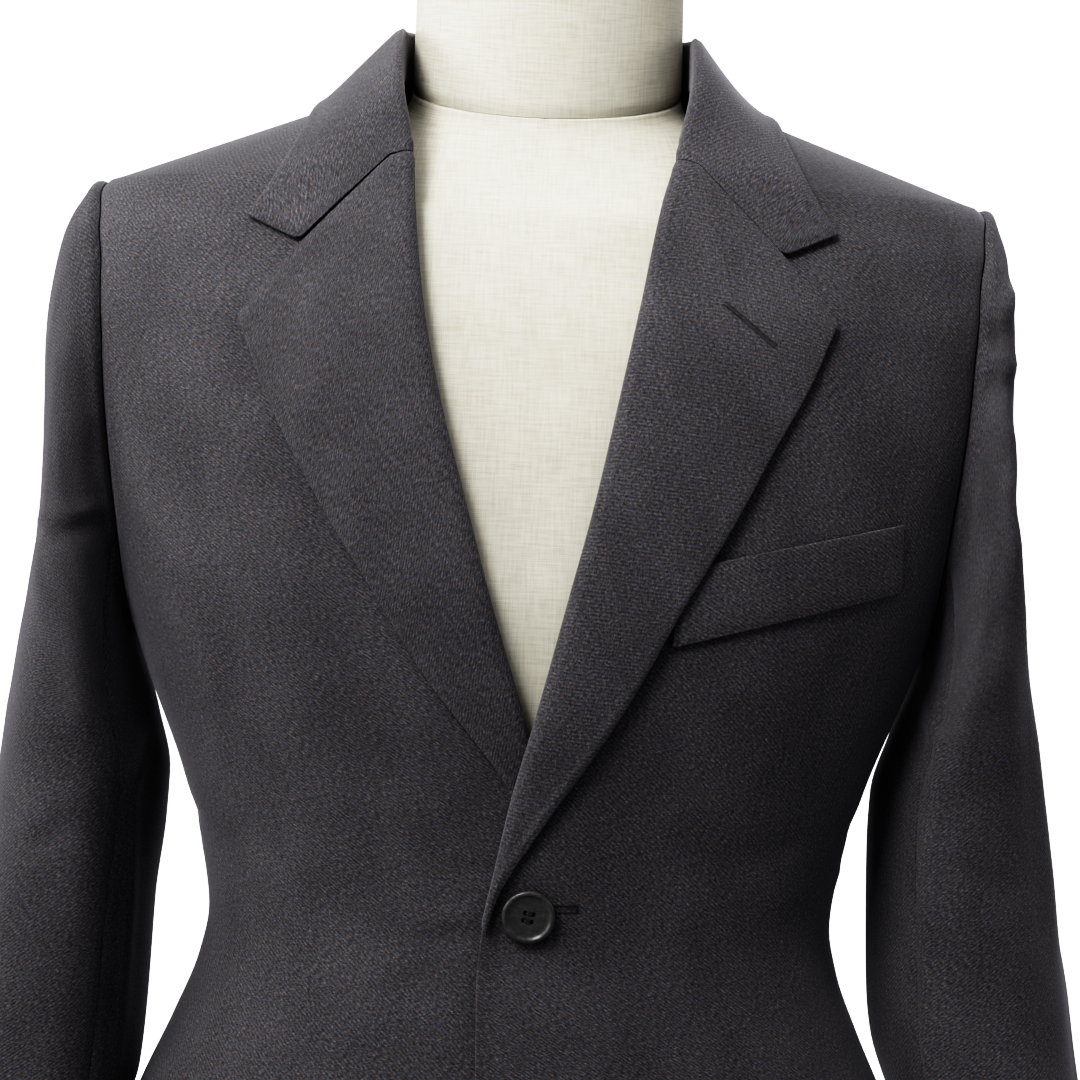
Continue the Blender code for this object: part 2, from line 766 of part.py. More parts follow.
def collar_row(station, side):
    """The collar's outer face across one station: from its foot up the stand and down the fall."""
    front = station <= SHOULDER_STATION
    fold = COLLAR_FRONT("fold", station) if front else COLLAR_BEHIND("fold", station)
    upright = COLLAR_FRONT("upright", station) if front else 1.0
    at_gorge = 1 - smoothstep(0.0, GORGE_FADE, station)
    start = skin_point(*collar_seat(station, 0.0, side))
    normal = skin_normal(*collar_seat(station, 0.0, side))
    up = unit(mix(normal, np.array((0.0, 0.0, 1.0)), upright))
    away = skin_point(*collar_seat(station, 0.04, side)) - start
    away = unit(away - up * np.dot(away, up))
    length = np.linalg.norm(skin_point(*collar_seat(station, 1.0, side)) - start)
    top = max(fold, LEAF_TOP) - FOLD_RADIUS
    foot = mix(FOLD_MIDDLE - FOLD_RADIUS, STAND_FOOT, smoothstep(*FOOT_RISE, station))
    turned = 1 - smoothstep(0.0, TURN_FADE, station)
    path = [np.array((UNDER_REACH * turned, foot))]
    for share, turn in zip((0.12, 0.5), FOLD_TURNS):
        a = FOLD_RADIUS * (1 - math.cos(math.radians(turn)))
        b = FOLD_MIDDLE + FOLD_RADIUS * math.sin(math.radians(turn))
        path.append(mix(np.array((0.0, mix(foot, top, share))), np.array((a, b)), turned))
    for turn in FOLD_TURNS[2:]:
        a = FOLD_RADIUS * (1 - math.cos(math.radians(turn)))
        b = top + FOLD_RADIUS * math.sin(math.radians(turn))
        path.append(np.array((a, b)))
    row = [start + away * a + up * b for a, b in path]
    first = LEAF_START / mix(length, GORGE_LENGTH, at_gorge)
    edge_rest = LEAF_TOP + mix(COLLAR_REST, LEAF_REST, at_gorge)
    sweep = mix(COLLAR_SWEEP[side], COLLAR_SWEEP_BEHIND, smoothstep(SHOULDER_STATION, 1.0, station))
    for step in LEAF_STEPS:
        angle, height = collar_seat(station, mix(first, 1.0, step), side)
        direction = unit(mix(up, skin_normal(angle, height), step))
        rest = mix(LEAF_TOP, edge_rest, smoothstep(*REST_RISE, step))
        out = rest + (max(fold, rest) - rest) * (1 - step) ** sweep
        row.append(skin_point(angle, height) + direction * out)
    return row


def collar_gorge_rise(across):
    """The gorge seam and the notch's upper edge, above the line from roll to collar corner."""
    neck, corner, lapel_corner = GORGE_START, COLLAR_CORNER, LAPEL_CORNER
    x = mix(neck[0], corner[0], across)
    along = (x - neck[0]) / (lapel_corner[0] - neck[0])
    if across < NOTCH_ACROSS:
        height = mix(neck[1], lapel_corner[1], along) + gorge_rise(along)
    else:
        notch = mix(neck[1], lapel_corner[1], NOTCH_ACROSS) + gorge_rise(NOTCH_ACROSS)
        height = mix(notch, corner[1], (across - NOTCH_ACROSS) / (1 - NOTCH_ACROSS))
    return height - mix(neck[1], corner[1], across)


def make_collar(cloth):
    left = [collar_row(station, 1) for station in COLLAR_HALF_ROWS]
    right = [collar_row(station, -1) for station in COLLAR_HALF_ROWS[:-1]]
    outer = np.array(left + right[::-1])
    inner = outer - grid_normals(outer, False) * LEAF_WALL
    return wall("collar", outer, inner, cloth)


# ---------------------------------------------------------------- sleeves


def armhole_point(turn, side):
    """The sleeve's edge at the armhole, at a turn in degrees from mid front over the top."""
    step = turn / 360 * 2 * ARMHOLE_STEPS
    height = armhole_height(step, ARMHOLE_CLEARANCE)
    behind = math.cos(math.radians(turn)) < 0
    depth = armhole_depth(height, behind, ARMHOLE_CLEARANCE)
    point = skin_point(angle_at_depth(depth, height, behind), height)
    return point * np.array((side, 1, 1))


def sleeve_ring(turn, height, side):
    """The sleeve's outer face at a height below the armpit."""
    inner = SLEEVE("inner_left" if side > 0 else "inner_right", height)
    outer = SLEEVE("outer_left" if side > 0 else "outer_right", height)
    across, ahead = math.sin(math.radians(turn)), math.cos(math.radians(turn))
    reach = (abs(across) ** SLEEVE_POWER + abs(ahead) ** SLEEVE_POWER) ** (-1 / SLEEVE_POWER)
    away = (turn - SLEEVE_RIDGE_ANGLE + 180) % 360 - 180
    reach *= 1 + SLEEVE_RIDGE * math.exp(-((away / SLEEVE_RIDGE_WIDTH) ** 2))
    x = (inner + outer) / 2 + (outer - inner) / 2 * across * reach
    y = SLEEVE("middle", height) - SLEEVE("half_depth", height) * ahead * reach
    return np.array((side * x, y, height))


def sleeve_point(turn, along, side):
    """The sleeve's outer face: 0 to 1 runs over the cap, 1 to 2 down to the cuff."""
    if along >= 1:
        return sleeve_ring(turn, mix(BICEPS_HEIGHT, CUFF_HEIGHT, along - 1), side)
    start, end = armhole_point(turn, side), sleeve_ring(turn, BICEPS_HEIGHT, side)
    lower = sleeve_ring(turn, BICEPS_HEIGHT - 0.01, side)
    across, ahead = math.sin(math.radians(turn)), math.cos(math.radians(turn))
    top = max(across, 0.0)
    leave = np.array(
        (
            side * (CAP_WAY["out"] + CAP_WAY["out_at_top"] * top),
            -CAP_WAY["along"] * ahead,
            CAP_WAY["up_at_top"] * top - CAP_WAY["down"] * (1 - across),
        )
    )
    drop = start[2] - end[2]
    first = start + unit(leave) * (CAP_LEAVE + CAP_FULLNESS * drop)
    last = end + unit(end - lower) * drop * CAP_TAIL
    t = along
    point = (
        start * (1 - t) ** 3
        + first * 3 * t * (1 - t) ** 2
        + last * 3 * t * t * (1 - t)
        + end * t**3
    )
    fuller = SLEEVE_HEAD("left" if side > 0 else "right", point[2])
    fuller *= smoothstep(0.0, HEAD_FADE, along)
    return point + np.array((side * fuller * top**2, 0, 0))


def sleeve_normal(turn, along, side):
    swing, slide = 0.5, 0.004
    low, high = max(along - slide, 0.0), min(along + slide, 2.0)
    around = sleeve_point(turn + swing, along, side) - sleeve_point(turn - swing, along, side)
    down = sleeve_point(turn, high, side) - sleeve_point(turn, low, side)
    normal = np.cross(down, around) * side
    return unit(normal)


def sleeve_piece(name, side, first_step, last_step, finish):
    """The stretch of the sleeve between two of the armhole's steps."""
    alongs = [i / CAP_ROWS for i in range(CAP_ROWS)]
    alongs += [1 + i / SLEEVE_ROWS for i in range(SLEEVE_ROWS + 1)]
    hairline = math.degrees(SEAM_GAP / 2 / SLEEVE_ARM)
    turns = [360 * step / (2 * ARMHOLE_STEPS) for step in range(first_step, last_step + 1)]
    turns[0] += hairline
    turns[-1] -= hairline
    outer = np.array([[sleeve_point(turn, along, side) for turn in turns] for along in alongs])
    normals = np.array([[sleeve_normal(turn, along, side) for turn in turns] for along in alongs])
    return wall(name, outer, outer - normals * WALL, finish)


def make_sleeves(cloth):
    whole = 2 * ARMHOLE_STEPS
    for label, side in (("left", 1), ("right", -1)):
        sleeve_piece(f"sleeve_{label}_upper", side, FORESEAM_STEP, HINDSEAM_STEP, cloth)
        sleeve_piece(f"sleeve_{label}_under", side, HINDSEAM_STEP, whole + FORESEAM_STEP, cloth)


# ---------------------------------------------------------------- pockets and buttons


def make_welt(cloth):
    """The breast welt, rising outwards, laid on the left front."""
    outer, inner = [], []
    for i in range(WELT_ROWS):
        rows = ([], [])
        for j in range(WELT_COLUMNS):
            across, up = j / (WELT_COLUMNS - 1), i / (WELT_ROWS - 1)
            x = mix(WELT_INNER_X, WELT_OUTER_X, across)
            height = mix(mix(*WELT_BOTTOM, across), mix(*WELT_TOP, across), up)
            rows[0].append(front_point(x, height, LAYER_GAP + WELT_WALL, left_lift))
            rows[1].append(front_point(x, height, LAYER_GAP, left_lift))
        outer.append(rows[0])
        inner.append(rows[1])
    return wall("breast_welt", np.array(outer), np.array(inner), cloth)


def make_flaps(cloth):
    """The two hip flaps, laid on the fronts."""
    for label, side in (("left", 1), ("right", -1)):
        outer, inner = [], []
        for i in range(FLAP_ROWS):
            rows = ([], [])
            for j in range(FLAP_COLUMNS):
                across, up = j / (FLAP_COLUMNS - 1), i / (FLAP_ROWS - 1)
                angle = side * mix(*FLAP_ANGLES, across)
                height = mix(*FLAP_TOP, across) - FLAP_DEPTH * (1 - up)
                point, normal = skin_point(angle, height), skin_normal(angle, height)
                rows[0].append(point + normal * (LAYER_GAP + FLAP_WALL))
                rows[1].append(point + normal * LAYER_GAP)
            outer.append(rows[0])
            inner.append(rows[1])
        wall(f"hip_flap_{label}", np.array(outer), np.array(inner), cloth)


def button_mesh(horn):
    """A four-hole button, turned: a rounded rim round a dished middle, its axis along Z."""
    edit = bmesh.new()
    rings = []
    for share, rise in BUTTON_PROFILE:
        ring = []
        for k in range(BUTTON_SIDES):
            turn = 2 * math.pi * k / BUTTON_SIDES
            x, y = math.cos(turn) * BUTTON_RADIUS * share, math.sin(turn) * BUTTON_RADIUS * share
            ring.append(edit.verts.new((x, y, BUTTON_THICKNESS * rise)))
        rings.append(ring)
    for upper, lower in zip(rings, rings[1:]):
        for k in range(BUTTON_SIDES):
            m = (k + 1) % BUTTON_SIDES
            edit.faces.new((upper[k], upper[m], lower[m], lower[k]))
    edit.faces.new(rings[0])
    edit.faces.new(rings[-1])
    bmesh.ops.recalc_face_normals(edit, faces=edit.faces)
    body = bpy.data.meshes.new("button")
    edit.to_mesh(body)
    edit.free()
    body.materials.append(horn)
    cutter_edit = bmesh.new()
    for k in range(4):
        turn = math.pi / 4 + k * math.pi / 2
        made = bmesh.ops.create_cone(
            cutter_edit,
            cap_ends=True,
            segments=HOLE_SIDES,
            radius1=HOLE_RADIUS,
            radius2=HOLE_RADIUS,
            depth=4 * BUTTON_THICKNESS,
        )
        shift = (HOLE_REACH * math.cos(turn), HOLE_REACH * math.sin(turn), 0)
        bmesh.ops.translate(cutter_edit, verts=made["verts"], vec=shift)
    cutter_mesh = bpy.data.meshes.new("button_holes")
    cutter_edit.to_mesh(cutter_mesh)
    cutter_edit.free()
    return body, cutter_mesh


def make_buttons(horn):
    body, holes = button_mesh(horn)
    for number in range(1, BUTTON_COUNT + 1):
        height = BUTTON_TOP - (number - 1) * BUTTON_SPACING
        seat = front_point(BUTTON_X, height, BUTTON_SEAT, left_lift)
        side = front_point(BUTTON_X + BUTTON_RADIUS, height, 0, left_lift)
        side = unit(side - front_point(BUTTON_X - BUTTON_RADIUS, height, 0, left_lift))
        rise = front_point(BUTTON_X, height + BUTTON_RADIUS, 0, left_lift)
        rise = rise - front_point(BUTTON_X, height - BUTTON_RADIUS, 0, left_lift)
        outward = unit(np.cross(side, rise))
        up = np.cross(outward, side)
        place = [[side[i], up[i], outward[i], seat[i]] for i in range(3)] + [[0, 0, 0, 1]]
        cutter = bpy.data.objects.new(f"button_{number}_holes", holes)
        cutter.hide_render = True
        cutter.display_type = "WIRE"
        button = bpy.data.objects.new(f"button_{number}", body)
        for item in (cutter, button):
            bpy.context.scene.collection.objects.link(item)
            item.matrix_world = np.array(place).T.tolist()
        cut = button.modifiers.new("holes", "BOOLEAN")
        cut.operation = "DIFFERENCE"
        cut.object = cutter


# ---------------------------------------------------------------- the dress form

# How far the form lies inside the coat's outer face
FORM_EASE = Table(
    ("height", "side", "front", "back"),
    [
        (0.70, 0.036, 0.022, 0.022),
        (0.85, 0.030, 0.018, 0.018),
        (0.92, 0.024, 0.015, 0.015),
        (1.00, 0.013, 0.010, 0.011),
        (1.06, 0.011, 0.009, 0.010),
        (1.15, 0.016, 0.009, 0.010),
        (1.25, 0.024, 0.009, 0.010),
        (1.34, 0.028, 0.009, 0.010),
        (1.395, 0.030, 0.010, 0.012),
    ],
)

# The form's neck, from the seam up: share of its height, how far it draws in, share of the tilt
NECK_ROWS = (
    (0.0, 0.0, 1.0),
    (0.35, 0.00035, 0.65),
    (0.75, 0.00075, 0.25),
)
# and its rounded top: how far below the top, how far it draws in
NECK_TOP_ROWS = ((0.006, 0.001), (0.0015, 0.003), (0.0, 0.008))

# The base and its socket, turned: radius and height from the top down
BASE_PROFILE = (
    (0.026, BASE_THICKNESS + SOCKET_HEIGHT),
    (0.028, BASE_THICKNESS + SOCKET_HEIGHT - 0.004),
    (0.030, BASE_THICKNESS + 0.008),
    (0.040, BASE_THICKNESS),
    (BASE_RADIUS - 0.012, BASE_THICKNESS - 0.008),
    (BASE_RADIUS - 0.002, BASE_THICKNESS - 0.012),
    (BASE_RADIUS, 0.005),
    (BASE_RADIUS - 0.003, 0.0),
)


def form_ring(height):
    half_width, front, back, power = section(height)
    half_width -= FORM_EASE("side", height)
    front -= FORM_EASE("front", height)
    back -= FORM_EASE("back", height)
    ring = []
    for k in range(FORM_COLUMNS):
        turn = 2 * math.pi * k / FORM_COLUMNS
        side, ahead = math.sin(turn), math.cos(turn)
        reach = (abs(side) ** power + abs(ahead) ** power) ** (-1 / power)
        depth = front if ahead > 0 else back
        ring.append(np.array((half_width * side * reach, -depth * ahead * reach, height)))
    return ring


def neck_ring(height, draw_in=0.0, tilt=NECK_SEAM_TILT):
    """The form's neck, cut by a plane that rises to the back by this tilt."""
    ring = []
    for k in range(FORM_COLUMNS):
        turn = 2 * math.pi * k / FORM_COLUMNS
        x = (NECK_COLUMN_WIDTH - draw_in) * math.sin(turn)
        y = NECK_COLUMN_MIDDLE - (NECK_COLUMN_DEPTH - draw_in) * math.cos(turn)
        ring.append(np.array((x, y, height + tilt * y)))
    return ring


def make_form(linen, metal):
    """The torso, closed and whole, the neck on it, and the pole and base that carry them."""
    rings = []
    for i in range(TORSO_ROWS):
        rings.append(form_ring(mix(TORSO_BOTTOM, TORSO_FLAT_TOP, i / (TORSO_ROWS - 1))))
    low, high = rings[-1], neck_ring(NECK_SEAM_HEIGHT - SEAM_GAP)
    foot = neck_ring(NECK_SEAM_HEIGHT - NECK_FLARE, tilt=NECK_FLARE_TILT)
    slope = [mix(a, c, SHOULDER_FULLNESS) for a, c in zip(low, foot)]
    for i in range(1, TORSO_TOP_ROWS + 1):
        t = i / TORSO_TOP_ROWS
        shares = ((1 - t) ** 3, 3 * t * (1 - t) ** 2, 3 * t * t * (1 - t), t**3)
        stack = zip(low, slope, foot, high)
        rings.append([sum(share * point for share, point in zip(shares, column)) for column in stack])
    rings_solid("form_torso", rings, linen)

    neck = []
    for share, draw_in, tilt in NECK_ROWS:
        height = mix(NECK_SEAM_HEIGHT, NECK_TOP, share)
        neck.append(neck_ring(height, draw_in, NECK_SEAM_TILT * tilt))
    for below, draw_in in NECK_TOP_ROWS:
        neck.append(neck_ring(NECK_TOP - below, draw_in, 0.0))
    rings_solid("form_neck", neck, linen)

    pole_ends = (TORSO_BOTTOM - SEAM_GAP, BASE_THICKNESS + SOCKET_HEIGHT + SEAM_GAP)
    turned_solid("form_pole", [(POLE_RADIUS, end) for end in pole_ends], POLE_SIDES, metal)
    turned_solid("form_base", BASE_PROFILE, BASE_SIDES, metal)


def turned_solid(name, profile, sides, finish):
    """A solid turned about Z from (radius, height) points listed from its top down."""
    rings = []
    for radius, height in profile:
        turns = [2 * math.pi * k / sides for k in range(sides)]
        rings.append([(radius * math.cos(t), radius * math.sin(t), height) for t in turns])
    return rings_solid(name, rings, finish)


def main():
    for old in list(bpy.data.objects):
        bpy.data.objects.remove(old, do_unlink=True)
    cloth = material("wool twill", (0.036, 0.033, 0.037), 0.92)
    horn = material("dark horn", (0.018, 0.016, 0.016), 0.35)
    linen = material("linen", (0.80, 0.76, 0.68), 0.88)
    metal = material("painted metal", (0.05, 0.05, 0.05), 0.45, 0.8)
    make_fronts(cloth)
    make_backs(cloth)
    make_lapels(cloth)
    make_collar(cloth)
    make_sleeves(cloth)
    make_welt(cloth)
    make_flaps(cloth)
    make_buttons(horn)
    make_form(linen, metal)


main()
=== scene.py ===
"""The looks of a chesterfield coat on its dress form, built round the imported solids.

Every cloth piece is a thin shell on its solid's own form, from the same section curves and
seam lines, with its creases, rolled edges and seams raised in the mesh. Metres, +Z up,
centre front towards -Y, the wearer's left towards +X.
"""

import json
import math

import bmesh
import bpy
import numpy as np
from mathutils import Matrix, Vector
from mathutils.bvhtree import BVHTree
from mathutils.kdtree import KDTree

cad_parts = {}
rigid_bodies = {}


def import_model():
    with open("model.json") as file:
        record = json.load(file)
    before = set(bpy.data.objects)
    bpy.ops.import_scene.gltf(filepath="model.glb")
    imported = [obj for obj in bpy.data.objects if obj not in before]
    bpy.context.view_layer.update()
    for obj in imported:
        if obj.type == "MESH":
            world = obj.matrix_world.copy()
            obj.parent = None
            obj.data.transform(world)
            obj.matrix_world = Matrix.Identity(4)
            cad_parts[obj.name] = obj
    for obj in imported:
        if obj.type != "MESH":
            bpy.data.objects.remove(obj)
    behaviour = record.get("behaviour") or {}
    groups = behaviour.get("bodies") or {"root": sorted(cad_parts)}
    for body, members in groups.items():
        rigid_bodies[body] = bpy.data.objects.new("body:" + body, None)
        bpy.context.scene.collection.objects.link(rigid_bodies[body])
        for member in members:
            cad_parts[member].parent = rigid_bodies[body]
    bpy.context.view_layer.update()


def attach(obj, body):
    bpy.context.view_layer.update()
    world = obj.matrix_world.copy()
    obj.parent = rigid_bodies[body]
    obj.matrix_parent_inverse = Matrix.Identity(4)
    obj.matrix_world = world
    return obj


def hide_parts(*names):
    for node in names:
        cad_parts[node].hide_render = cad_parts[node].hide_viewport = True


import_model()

# ---------------------------------------------------------------- sizes shared with the solids

SHOULDER_HALF = 0.2165
SHOULDER_HEIGHT = 1.411
SHOULDER_SLOPE = math.radians(20)
NECK_HALF = 0.0705
NECK_HEIGHT = SHOULDER_HEIGHT + (SHOULDER_HALF - NECK_HALF) * math.tan(SHOULDER_SLOPE)
HEM_HEIGHT = 0.47
ARMPIT_HEIGHT = 1.195
VENT_HEIGHT = 0.80
VENT_UNDERLAP = 0.035
FRONT_TOP = 1.4588

WALL = 0.0018
LEAF_WALL = 0.0016
SEAM_GAP = 0.0003
LAYER_GAP = 0.0007

BUTTON_RADIUS = 0.0125
BUTTON_THICKNESS = 0.0034
BUTTON_X = 0.0045
BUTTON_TOP = 1.066
BUTTON_SPACING = 0.115
BUTTON_COUNT = 3
BUTTON_SEAT = 0.0008

NECK_COLUMN_WIDTH = 0.0675
NECK_COLUMN_DEPTH = 0.060
NECK_COLUMN_MIDDLE = 0.006
NECK_SEAM_HEIGHT = 1.462
NECK_SEAM_TILT = 0.35
NECK_TOP = 1.532
TORSO_BOTTOM = 0.70
TORSO_FLAT_TOP = 1.395
POLE_RADIUS = 0.015
BASE_RADIUS = 0.19
BASE_THICKNESS = 0.022


def smoothstep(start, end, value):
    t = np.clip((value - start) / (end - start), 0.0, 1.0)
    return t * t * (3 - 2 * t)


def mix(a, b, t):
    return a + (b - a) * t


def unit(vectors):
    return vectors / np.linalg.norm(vectors, axis=-1, keepdims=True)


def curve(t, start, leaving, arriving, end):
    """A cubic curve from start to end, drawn towards the two points between."""
    s = 1 - t
    return start * s**3 + leaving * 3 * t * s**2 + arriving * 3 * t * t * s + end * t**3


class Table:
    """Named columns against the first one, read smoothly and without overshoot between rows."""

    def __init__(self, names, rows):
        values = np.array(rows, float)
        self.keys = values[:, 0]
        self.columns = {name: values[:, i] for i, name in enumerate(names) if i}
        self.slopes = {name: self.slopes_of(column) for name, column in self.columns.items()}

    def slopes_of(self, column):
        steps = np.diff(self.keys)
        rates = np.diff(column) / steps
        slopes = np.zeros(len(column))
        slopes[0], slopes[-1] = rates[0], rates[-1]
        for i in range(1, len(column) - 1):
            before, after = rates[i - 1], rates[i]
            if before * after > 0:
                weight_before = 2 * steps[i] + steps[i - 1]
                weight_after = steps[i] + 2 * steps[i - 1]
                total = weight_before + weight_after
                slopes[i] = total / (weight_before / before + weight_after / after)
        return slopes

    def __call__(self, name, key):
        key = np.clip(key, self.keys[0], self.keys[-1])
        i = np.clip(np.searchsorted(self.keys, key) - 1, 0, len(self.keys) - 2)
        step = self.keys[i + 1] - self.keys[i]
        t = (key - self.keys[i]) / step
        column, slopes = self.columns[name], self.slopes[name]
        return (
            (1 + 2 * t) * (1 - t) ** 2 * column[i]
            + t * (1 - t) ** 2 * step * slopes[i]
            + t * t * (3 - 2 * t) * column[i + 1]
            + t * t * (t - 1) * step * slopes[i + 1]
        )


# The coat's outer face: half its width, its depth before and behind the side line, and the
# power of the section curve (2 is an ellipse, more is squarer).
BODY = Table(
    ("height", "half_width", "front", "back", "power"),
    [
        (0.470, 0.2380, 0.1450, 0.1560, 2.15),
        (0.600, 0.2310, 0.1380, 0.1470, 2.15),
        (0.750, 0.2220, 0.1310, 0.1350, 2.15),
        (0.850, 0.2130, 0.1250, 0.1260, 2.20),
        (0.920, 0.2010, 0.1190, 0.1170, 2.20),
        (0.964, 0.1860, 0.1140, 0.1080, 2.20),
        (1.000, 0.1700, 0.1090, 0.1000, 2.20),
        (1.030, 0.1585, 0.1060, 0.0960, 2.20),
        (1.052, 0.1545, 0.1050, 0.0950, 2.20),
        (1.080, 0.1580, 0.1060, 0.0970, 2.25),
        (1.120, 0.1690, 0.1105, 0.1010, 2.30),
        (1.175, 0.1900, 0.1185, 0.1075, 2.45),
        (1.220, 0.2050, 0.1220, 0.1130, 2.50),
        (1.280, 0.2215, 0.1197, 0.1170, 2.45),
        (1.340, 0.2335, 0.1112, 0.1130, 2.30),
        (1.365, 0.2380, 0.1040, 0.1095, 2.15),
        (1.381, 0.2375, 0.0990, 0.1070, 2.10),
        (1.395, 0.2325, 0.0940, 0.1040, 2.04),
        (1.403, 0.2275, 0.0910, 0.1018, 2.02),
        (1.408, 0.2215, 0.0890, 0.1006, 2.02),
        (1.411, 0.2165, 0.0880, 0.1000, 2.02),
        (1.440, 0.1368, 0.0750, 0.0900, 2.02),
        (1.470, 0.0544, 0.0600, 0.0760, 2.00),
    ],
)

# Soft flutes of the skirt: where each runs, how wide it is and how far it stands out at the hem.
FLUTES = (
    # degrees from centre front, half its width in degrees, metres
    (-152, 17, 0.0080),
    (-108, 20, 0.0100),
    (-66, 16, 0.0075),
    (-34, 14, -0.0040),
    (38, 15, -0.0045),
    (70, 17, 0.0085),
    (112, 19, 0.0095),
    (149, 18, 0.0075),
)
FLUTE_TOP = 0.93

# x of the fronts' inner edges: the roll of the lapel above the top button, the cut edge below.
LEFT_EDGE = Table(
    ("height", "x"),
    [
        (0.470, -0.0180), (0.988, -0.0175), (1.033, -0.0183), (1.067, -0.0155),
        (1.0833, -0.0126), (1.1215, -0.0051), (1.1662, 0.0065), (1.2129, 0.0179),
        (1.2593, 0.0290), (1.3060, 0.0383), (1.3530, 0.0474), (1.4020, 0.0565),
        (1.4220, 0.0620), (1.4450, 0.0665), (1.4641, 0.0705),
    ],
)
RIGHT_EDGE = Table(
    ("height", "x"),
    [
        (0.470, 0.0180), (1.070, 0.0180), (1.095, 0.0150), (1.120, 0.0100),
        (1.150, 0.0023), (1.1658, -0.0028), (1.2115, -0.0175), (1.2575, -0.0308),
        (1.3033, -0.0439), (1.3497, -0.0539), (1.3978, -0.0600), (1.4220, -0.0620),
        (1.4450, -0.0665), (1.4641, -0.0705),
    ],
)

# x of the lapels' outer edges, from where each ends at the bottom up to its corner.
LEFT_LAPEL = Table(
    ("height", "x"),
    [
        (1.0540, -0.0152), (1.0640, -0.0128), (1.0754, -0.0093), (1.1023, 0.0056),
        (1.1407, 0.0305), (1.1722, 0.0503), (1.2105, 0.0705), (1.2428, 0.0890),
        (1.2885, 0.1127), (1.3140, 0.1264), (1.3445, 0.1389),
    ],
)
RIGHT_LAPEL = Table(
    ("height", "x"),
    [
        (1.1000, 0.0050), (1.1217, -0.0051), (1.1778, -0.0480), (1.2142, -0.0719),
        (1.2423, -0.0904), (1.2705, -0.1076), (1.3001, -0.1234), (1.3400, -0.1400),
    ],
)

# The gorge seam: how far it stands above a straight line from the roll to the lapel's corner.
GORGE_ACROSS = (0.0, 0.14, 0.67, 1.0)
GORGE_RISE = (0.0, 0.0076, 0.0061, 0.0)
NOTCH_ACROSS = 0.67
GORGE_START = (0.0620, 1.4220)
COLLAR_CORNER = (0.1391, 1.3880)
LAPEL_CORNER = (0.1389, 1.3445)

# How far the left front stands out where it laps over, and over the right lapel above that.
# It stands out in full as far as the first x, and no more beyond the second.
LAP_LIFT = Table(
    ("height", "lift"),
    [
        (0.470, 0.0028), (1.040, 0.0030), (1.070, 0.0056), (1.090, 0.0074),
        (1.140, 0.0074), (1.165, 0.0053), (1.200, 0.0022), (1.260, 0.0006),
        (1.330, 0.0000),
    ],
)
LAP_FULL_X = 0.014
LAP_END_X = 0.078

# The armhole, an egg in side view. The sleeve's seams are counted in steps round it.
ARMHOLE_MIDDLE = (SHOULDER_HEIGHT + ARMPIT_HEIGHT) / 2
ARMHOLE_HALF_HEIGHT = (SHOULDER_HEIGHT - ARMPIT_HEIGHT) / 2
ARMHOLE_FRONT = 0.058
ARMHOLE_BACK = 0.066
ARMHOLE_POWER = 2.4
ARMHOLE_STEPS = 10
ARMHOLE_CLEARANCE = 0.0002

# The sleeve below the armpit: x of its body side and of its outer side on each arm, and its
# middle and half its depth in side view.
SLEEVE = Table(
    ("height", "inner_left", "inner_right", "outer_left", "outer_right", "middle", "half_depth"),
    [
        (0.800, 0.2265, 0.2265, 0.3130, 0.3130, -0.020, 0.0480),
        (0.870, 0.2175, 0.2175, 0.3020, 0.3010, -0.014, 0.0530),
        (0.930, 0.2035, 0.2035, 0.2890, 0.2900, -0.006, 0.0570),
        (0.970, 0.1878, 0.1878, 0.2810, 0.2830, 0.000, 0.0590),
        (1.000, 0.1780, 0.1856, 0.2767, 0.2782, 0.004, 0.0608),
        (1.019, 0.1757, 0.1848, 0.2745, 0.2755, 0.005, 0.0620),
        (1.054, 0.1746, 0.1838, 0.2693, 0.2710, 0.008, 0.0646),
        (1.094, 0.1740, 0.1798, 0.2628, 0.2658, 0.009, 0.0684),
        (1.118, 0.1750, 0.1789, 0.2590, 0.2626, 0.009, 0.0710),
        (1.150, 0.1845, 0.1858, 0.2532, 0.2580, 0.006, 0.0745),
    ],
)
CUFF_HEIGHT = 0.80
BICEPS_HEIGHT = 1.150
SLEEVE_POWER = 2.1
SLEEVE_RIDGE = 0.075
SLEEVE_RIDGE_ANGLE = -24
SLEEVE_RIDGE_WIDTH = 20
CAP_LEAVE = 0.009
CAP_FULLNESS = 0.085
FORESEAM_STEP = -2
HINDSEAM_STEP = 12

# How much fuller the sleeve head is than a plain curve from the armhole, at its outer side.
SLEEVE_HEAD = Table(
    ("height", "left", "right"),
    [
        (1.150, 0.0000, 0.0000), (1.200, -0.0030, -0.0036), (1.250, -0.0093, -0.0096),
        (1.275, -0.0112, -0.0082), (1.300, -0.0119, -0.0047), (1.350, -0.0054, 0.0005),
        (1.385, -0.0043, 0.0006), (1.402, -0.0034, -0.0012), (1.411, 0.0000, 0.0000),
    ],
)

# The collar from the gorge seam (0) to the shoulder seam (0.5): where its neck seam and its
# fall's edge lie on the coat, how high it folds and how upright its stand is.
COLLAR_FRONT = Table(
    ("station", "neck_x", "neck_height", "edge_x", "edge_height", "fold", "upright"),
    [
        (0.00, 0.0620, 1.4220, 0.1391, 1.3880, 0.0022, 0.00),
        (0.12, 0.0645, 1.4360, 0.1306, 1.4010, 0.0060, 0.10),
        (0.25, 0.0672, 1.4480, 0.1222, 1.4170, 0.0130, 0.40),
        (0.38, 0.0692, 1.4575, 0.1150, 1.4345, 0.0215, 0.80),
        (0.50, 0.0705, 1.4641, 0.1115, 1.4492, 0.0285, 1.00),
    ],
)
